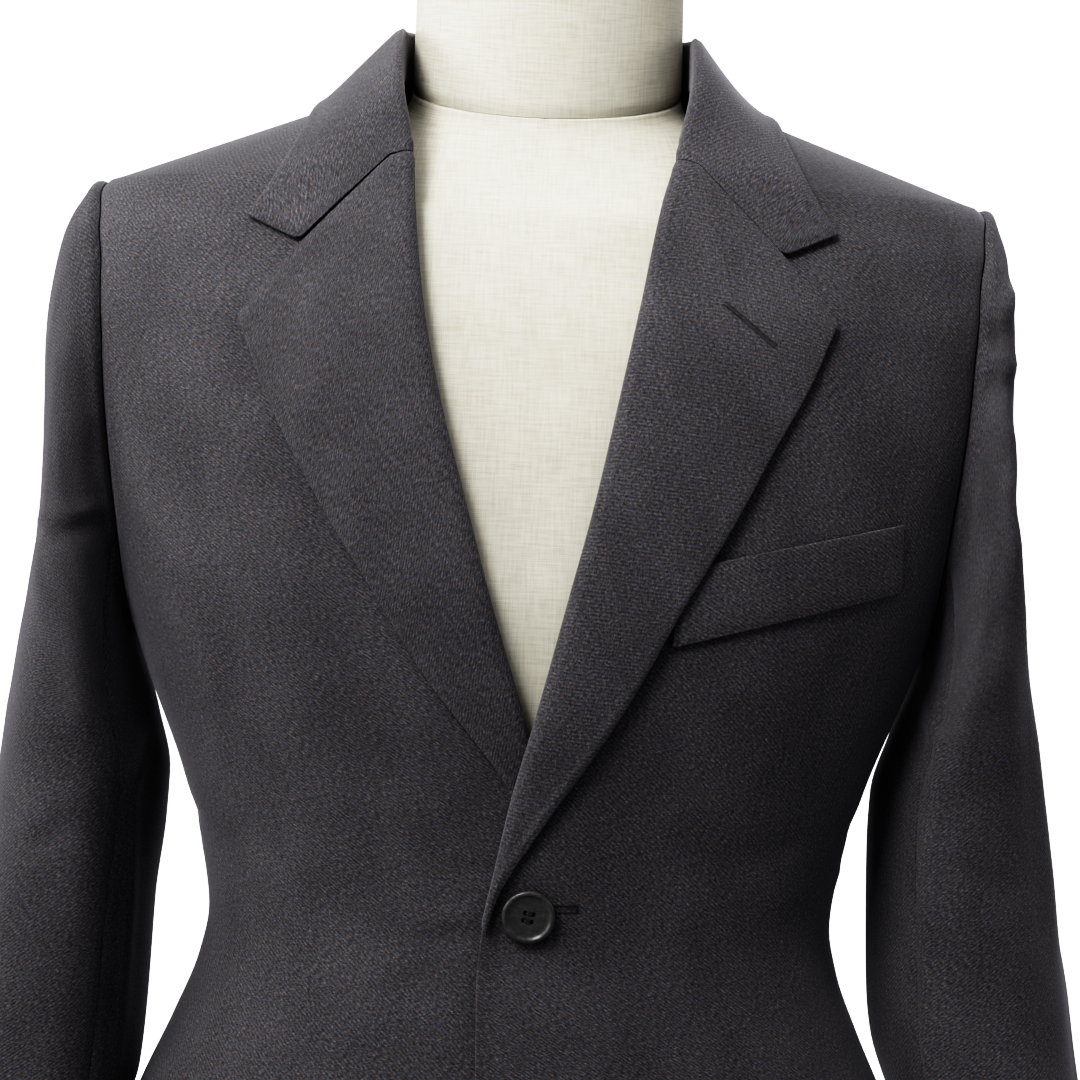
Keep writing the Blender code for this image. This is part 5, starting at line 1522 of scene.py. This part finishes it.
def make_stand(metal):
    thick, wide = BASE_THICKNESS, BASE_RADIUS
    hub = thick + HUB_HEIGHT
    top, bottom = TORSO_BOTTOM - SEAM_GAP, hub + SEAM_GAP
    outer, inner = POLE_RADIUS, POLE_RADIUS - POLE_BEVEL
    profile = [
        (AXIS, top), (inner, top), (outer, top - POLE_BEVEL),
        (outer, bottom + POLE_BEVEL), (inner, bottom), (AXIS, bottom),
    ]
    pole = turned("stand_pole", profile, 64, metal)
    pole.data.set_sharp_from_angle(angle=POLE_SHARP)
    dress(pole, "form_pole")
    profile = [
        (AXIS, hub), (0.024, hub), (0.026, thick + 0.0295), (0.028, thick + 0.026),
        (0.030, thick + 0.008), (0.034, thick + 0.002), (0.040, thick),
        (wide - 0.012, thick - 0.008), (wide - 0.002, thick - 0.012), (wide, 0.005),
        (wide - 0.003, 0.0), (AXIS, 0.0),
    ]
    base = turned("stand_base", smooth_profile(profile, 160), 128, metal)
    base.data.set_sharp_from_angle(angle=BASE_SHARP)
    dress(base, "form_base")


# ---------------------------------------------------------------- materials


class Nodes:
    """Short calls for building one material's nodes."""

    def __init__(self, name):
        self.material = bpy.data.materials.new(name)
        self.material.use_nodes = True
        self.tree = self.material.node_tree
        self.shader = self.tree.nodes["Principled BSDF"]

    def add(self, kind, links=(), **values):
        node = self.tree.nodes.new(kind)
        for key, value in values.items():
            if hasattr(node, key):
                setattr(node, key, value)
            else:
                node.inputs[key.replace("_", " ")].default_value = value
        for key, source in dict(links).items():
            self.tree.links.new(source, node.inputs[key])
        return node

    def mapped(self, source, scale, rotate=0.0):
        turn = self.add("ShaderNodeMapping", {"Vector": source})
        turn.vector_type = "POINT"
        turn.inputs["Rotation"].default_value = (0, 0, math.radians(rotate))
        size = self.add("ShaderNodeMapping", {"Vector": turn.outputs[0]})
        size.inputs["Scale"].default_value = scale
        return size.outputs[0]

    def noise(self, source, scale, rotate=0.0, detail=2.0, rough=0.5):
        node = self.add("ShaderNodeTexNoise", {"Vector": self.mapped(source, scale, rotate)})
        node.inputs["Scale"].default_value = 1.0
        node.inputs["Detail"].default_value = detail
        node.inputs["Roughness"].default_value = rough
        return node.outputs["Fac"]

    def wave(self, source, rotate, scale, distortion, detail_scale=1.0):
        """Straight ribs or threads in millimetres across."""
        node = self.add("ShaderNodeTexWave", {"Vector": self.mapped(source, (1000,) * 3, rotate)})
        node.wave_type, node.bands_direction = "BANDS", "X"
        node.inputs["Scale"].default_value = scale
        node.inputs["Distortion"].default_value = distortion
        node.inputs["Detail"].default_value = 2.0
        node.inputs["Detail Scale"].default_value = detail_scale
        return node.outputs["Fac"]

    def ramp(self, source, *stops):
        """Greys or colours between stops of (place, colour)."""
        node = self.add("ShaderNodeValToRGB", {"Fac": source})
        ramp = node.color_ramp
        while len(ramp.elements) < len(stops):
            ramp.elements.new(0.5)
        for element, (place, colour) in zip(ramp.elements, stops):
            element.position = place
            element.color = (*colour, 1) if isinstance(colour, tuple) else (colour,) * 3 + (1,)
        return node.outputs["Color"]

    def maths(self, operation, a, b):
        node = self.add("ShaderNodeMath", operation=operation)
        for socket, value in zip(node.inputs, (a, b)):
            if isinstance(value, (int, float)):
                socket.default_value = value
            else:
                self.tree.links.new(value, socket)
        return node.outputs[0]

    def weighted(self, *parts):
        """The sum of sockets, each times its weight."""
        total = None
        for source, weight in parts:
            part = self.maths("MULTIPLY", source, weight)
            total = part if total is None else self.maths("ADD", total, part)
        return total

    def blend(self, mode, share, a, b):
        node = self.add("ShaderNodeMix", data_type="RGBA", blend_type=mode)
        for socket, value in zip((node.inputs[0], node.inputs[6], node.inputs[7]), (share, a, b)):
            if isinstance(value, (int, float)):
                socket.default_value = value
            elif isinstance(value, tuple):
                socket.default_value = (*value, 1)
            else:
                self.tree.links.new(value, socket)
        return node.outputs[2]

    def finish(self, colour, height, strength, distance, **sockets):
        bump = self.add("ShaderNodeBump", {"Height": height})
        bump.inputs["Strength"].default_value = strength
        bump.inputs["Distance"].default_value = distance
        self.tree.links.new(colour, self.shader.inputs["Base Color"])
        self.tree.links.new(bump.outputs[0], self.shader.inputs["Normal"])
        for key, value in sockets.items():
            socket = self.shader.inputs[key.replace("_", " ")]
            if isinstance(value, (int, float, tuple)):
                socket.default_value = value
            else:
                self.tree.links.new(value, socket)
        return self.material


def wool():
    """Charcoal-brown wool twill: steep ribs, and a mixture of dark and pale fibres."""
    n = Nodes("wool twill")
    at = n.add("ShaderNodeUVMap", uv_map="cloth").outputs[0]
    rib = n.wave(at, -52, 0.209, 1.1, 2.2)
    long_fibre = n.noise(at, (1150, 420, 1), -52, 3.0, 0.65)
    cross_fibre = n.noise(at, (520, 1300, 1), -14, 3.0, 0.65)
    speck = n.noise(at, (1900, 1900, 1), 0, 2.0, 0.6)
    mixed = n.weighted((long_fibre, 0.40), (cross_fibre, 0.32), (speck, 0.26), (rib, 0.035))
    base = n.ramp(
        mixed,
        (0.37, (0.031, 0.030, 0.030)),
        (0.48, (0.061, 0.059, 0.061)),
        (0.56, (0.099, 0.097, 0.101)),
        (0.66, (0.192, 0.189, 0.199)),
    )
    ribbed = n.blend("MULTIPLY", 0.13, base, n.ramp(rib, (0.0, 0.42), (0.55, 1.0)))
    tints = n.noise(at, (700, 700, 1), 30, 1.0, 0.5)
    tint = n.ramp(
        tints,
        (0.38, (0.84, 0.95, 1.22)),
        (0.5, (1.0, 1.0, 1.0)),
        (0.62, (1.20, 0.96, 0.88)),
    )
    tinted = n.blend("MULTIPLY", 0.55, ribbed, tint)
    broad = n.noise(at, (26, 20, 1), 0, 3.0, 0.55)
    worn = n.ramp(broad, (0.35, 0.90), (0.65, 1.10))
    colour = n.blend("MULTIPLY", 1.0, tinted, worn)
    height = n.weighted((rib, 0.16), (mixed, 1.0))
    return n.finish(
        colour, height, 0.38, 0.0006,
        Roughness=0.88, Sheen_Weight=0.30, Sheen_Roughness=0.45, Specular_IOR_Level=0.18,
        Sheen_Tint=(0.76, 0.74, 0.80, 1),
    )


def linen_cloth():
    """Cream linen: a plain weave with slubs both ways."""
    n = Nodes("linen")
    at = n.add("ShaderNodeUVMap", uv_map="cloth").outputs[0]
    warp, weft = n.wave(at, 0.0, 0.36, 1.6), n.wave(at, 90, 0.36, 1.6)
    slub_across = n.noise(at, (60, 900, 1), 0, 3.0, 0.6)
    slub_up = n.noise(at, (900, 60, 1), 0, 3.0, 0.6)
    slubs = n.weighted((slub_across, 0.55), (slub_up, 0.45))
    weave = n.maths("MULTIPLY", warp, weft)
    colour = n.ramp(
        slubs,
        (0.34, (0.50, 0.466, 0.378)),
        (0.5, (0.60, 0.570, 0.486)),
        (0.64, (0.66, 0.634, 0.558)),
    )
    colour = n.blend("MULTIPLY", 0.22, colour, n.ramp(weave, (0.0, 0.72), (0.6, 1.0)))
    cloudy = n.noise(at, (18, 18, 1), 0, 3.0, 0.5)
    colour = n.blend("MULTIPLY", 1.0, colour, n.ramp(cloudy, (0.35, 0.95), (0.65, 1.03)))
    height = n.weighted((slubs, 1.4), (weave, 0.5))
    return n.finish(
        colour, height, 0.35, 0.0005,
        Roughness=0.92, Sheen_Weight=0.08, Specular_IOR_Level=0.2,
    )


def horn_finish():
    """Dark horn: mottled, dyed nearly black, and polished."""
    n = Nodes("dark horn")
    at = n.add("ShaderNodeTexCoord").outputs["Object"]
    streak = n.noise(at, (260, 900, 300), 25, 4.0, 0.6)
    cloud = n.noise(at, (500, 500, 500), 0, 4.0, 0.6)
    mottle = n.weighted((streak, 0.5), (cloud, 0.5))
    colour = n.ramp(
        mottle,
        (0.40, (0.046, 0.045, 0.045)),
        (0.52, (0.058, 0.057, 0.056)),
        (0.64, (0.078, 0.075, 0.072)),
    )
    rough = n.ramp(cloud, (0.35, 0.30), (0.65, 0.40))
    return n.finish(colour, mottle, 0.05, 0.0003, Roughness=rough, Specular_IOR_Level=0.5)


def thread_finish(name, colour):
    """Twisted thread of a colour."""
    n = Nodes(name)
    at = n.add("ShaderNodeTexCoord").outputs["Object"]
    twist = n.noise(at, (2600, 2600, 2600), 0, 2.0, 0.5)
    dark, light = tuple(c * 0.6 for c in colour), tuple(c * 1.4 for c in colour)
    shade = n.ramp(twist, (0.35, dark), (0.65, light))
    return n.finish(shade, twist, 0.4, 0.0002, Roughness=0.6, Sheen_Weight=0.1)


def metal_finish():
    """Black powder coat over steel, with fine orange peel."""
    n = Nodes("painted metal")
    at = n.add("ShaderNodeTexCoord").outputs["Object"]
    peel = n.noise(at, (900, 900, 900), 0, 2.0, 0.5)
    broad = n.noise(at, (14, 14, 14), 0, 4.0, 0.6)
    colour = n.ramp(broad, (0.35, (0.022, 0.022, 0.023)), (0.65, (0.034, 0.033, 0.033)))
    rough = n.ramp(broad, (0.35, 0.40), (0.65, 0.52))
    return n.finish(colour, peel, 0.15, 0.0002, Roughness=rough, Specular_IOR_Level=0.5)


# ---------------------------------------------------------------- camera, light and floor


# The picture's tone curve, from scene light to shown light: deep darks and soft whites.
TONES = (
    (0.0, 0.0), (0.02, 0.0032), (0.045, 0.0145), (0.09, 0.062), (0.18, 0.209),
    (0.40, 0.590), (0.62, 0.800), (1.0, 0.915), (1.60, 1.0),
)
TONES_END = 2.0

LENS, SENSOR = 100, 36
CAMERA_PLACE = (0.004, -1.5, 1.24)
CAMERA_ROLL = math.radians(1.95)

LIGHTS = (
    # name, place, target, size, watts, colour, spread in degrees
    ("overhead", (0, -0.3, 3.2), (0, 0, 1.2), (2.5, 2.5), 21, (1.0, 0.99, 0.98), 180),
    ("side", (-2.6, -0.8, 2.0), (0, 0, 1.7), (2.0, 2.0), 7.8, (1.0, 0.99, 0.97), 80),
    ("far side", (2.6, -0.8, 2.1), (0, 0, 1.75), (2.0, 2.0), 1.6, (1.0, 0.97, 0.94), 80),
    ("spot", (-0.95, -1.3, 2.75), (0.02, 0, 1.46), (1.0, 1.0), 3.6, (1.0, 1.0, 0.99), 42),
    ("left rim", (-2.3, 0.1, 2.0), (0, 0, 1.7), (0.8, 1.2), 1.6, (1.0, 0.98, 0.99), 80),
    ("behind", (0.5, 2.9, 2.5), (0, 0, 1.1), (2.6, 2.0), 34, (0.99, 0.99, 1.0), 180),
    ("right rim", (2.3, 0.1, 1.9), (0, 0, 1.7), (0.8, 1.2), 0.9, (1.0, 0.93, 0.90), 80),
)
FILL_COLOUR, FILL = (0.92, 0.95, 1.0, 1), 0.21
BACKDROP_COLOUR, BACKDROP = (0.99, 0.99, 0.99, 1), 1.7
FLOOR_COLOUR, FLOOR_RADIUS = (0.86, 0.86, 0.86, 1), 4.0
# Thread colours. The dark thread also lies down the front buttonholes' slits, and the grey one down
# the lapel buttonhole's slit and the darts, as painted shade.
DARK_THREAD_AND_SLIT_SHADE = (0.026, 0.025, 0.026)
GREY_THREAD_AND_SHADE_LINES = (0.050, 0.048, 0.051)


def set_tones():
    """Plain colours through the tone curve."""
    shown = bpy.context.scene.view_settings
    shown.view_transform = "Standard"
    shown.use_curve_mapping = True
    curves = shown.curve_mapping
    curves.clip_max_x = curves.clip_max_y = TONES_END
    curve = curves.curves[3]
    curve.points[0].location, curve.points[1].location = TONES[0], TONES[-1]
    for point in TONES[1:-1]:
        curve.points.new(*point)
    curves.update()


def set_camera():
    data = bpy.data.cameras.new("camera")
    data.lens, data.sensor_width = LENS, SENSOR
    data.clip_start, data.clip_end = 0.05, 100
    camera = bpy.data.objects.new("camera", data)
    camera.location = CAMERA_PLACE
    camera.rotation_euler = (math.radians(90), -CAMERA_ROLL, 0)
    bpy.context.scene.collection.objects.link(camera)
    bpy.context.scene.camera = camera


def area_light(name, place, target, size, power, colour, spread):
    data = bpy.data.lights.new(name, "AREA")
    data.shape, data.size, data.size_y = "RECTANGLE", *size
    data.energy, data.color = power, colour
    data.spread = math.radians(spread)
    lamp = bpy.data.objects.new(name, data)
    lamp.location = place
    lamp.rotation_euler = (Vector(target) - Vector(place)).to_track_quat("-Z", "Y").to_euler()
    bpy.context.scene.collection.objects.link(lamp)


def set_world():
    """A soft fill from all round, and a white backdrop that only the camera sees."""
    world = bpy.data.worlds.new("studio")
    bpy.context.scene.world = world
    world.use_nodes = True
    nodes, links = world.node_tree.nodes, world.node_tree.links
    nodes.clear()
    out = nodes.new("ShaderNodeOutputWorld")
    share = nodes.new("ShaderNodeMixShader")
    seen = nodes.new("ShaderNodeLightPath")
    soft, backdrop = nodes.new("ShaderNodeBackground"), nodes.new("ShaderNodeBackground")
    soft.inputs["Color"].default_value = FILL_COLOUR
    soft.inputs["Strength"].default_value = FILL
    backdrop.inputs["Color"].default_value = BACKDROP_COLOUR
    backdrop.inputs["Strength"].default_value = BACKDROP
    links.new(seen.outputs["Is Camera Ray"], share.inputs[0])
    links.new(soft.outputs[0], share.inputs[1])
    links.new(backdrop.outputs[0], share.inputs[2])
    links.new(share.outputs[0], out.inputs["Surface"])


def make_floor():
    n = Nodes("studio floor")
    n.shader.inputs["Base Color"].default_value = FLOOR_COLOUR
    n.shader.inputs["Roughness"].default_value = 0.8
    floor = turned("floor", [(0.001, 0.0), (FLOOR_RADIUS, 0.0)], 64, n.material)


def main():
    set_tones()
    set_camera()
    cloth, linen, horn = wool(), linen_cloth(), horn_finish()
    thread = thread_finish("dark thread and slit shade", DARK_THREAD_AND_SLIT_SHADE)
    make_fronts(cloth)
    make_backs(cloth)
    make_lapels(cloth)
    make_collar(cloth)
    make_sleeves(cloth)
    make_turnings(cloth)
    make_welt(cloth)
    make_flaps(cloth)
    make_buttons(horn, thread)
    make_sewing(thread, thread_finish("grey thread and shade lines", GREY_THREAD_AND_SHADE_LINES))
    make_form(linen)
    make_stand(metal_finish())
    make_floor()
    set_world()
    for light in LIGHTS:
        area_light(*light)


main()
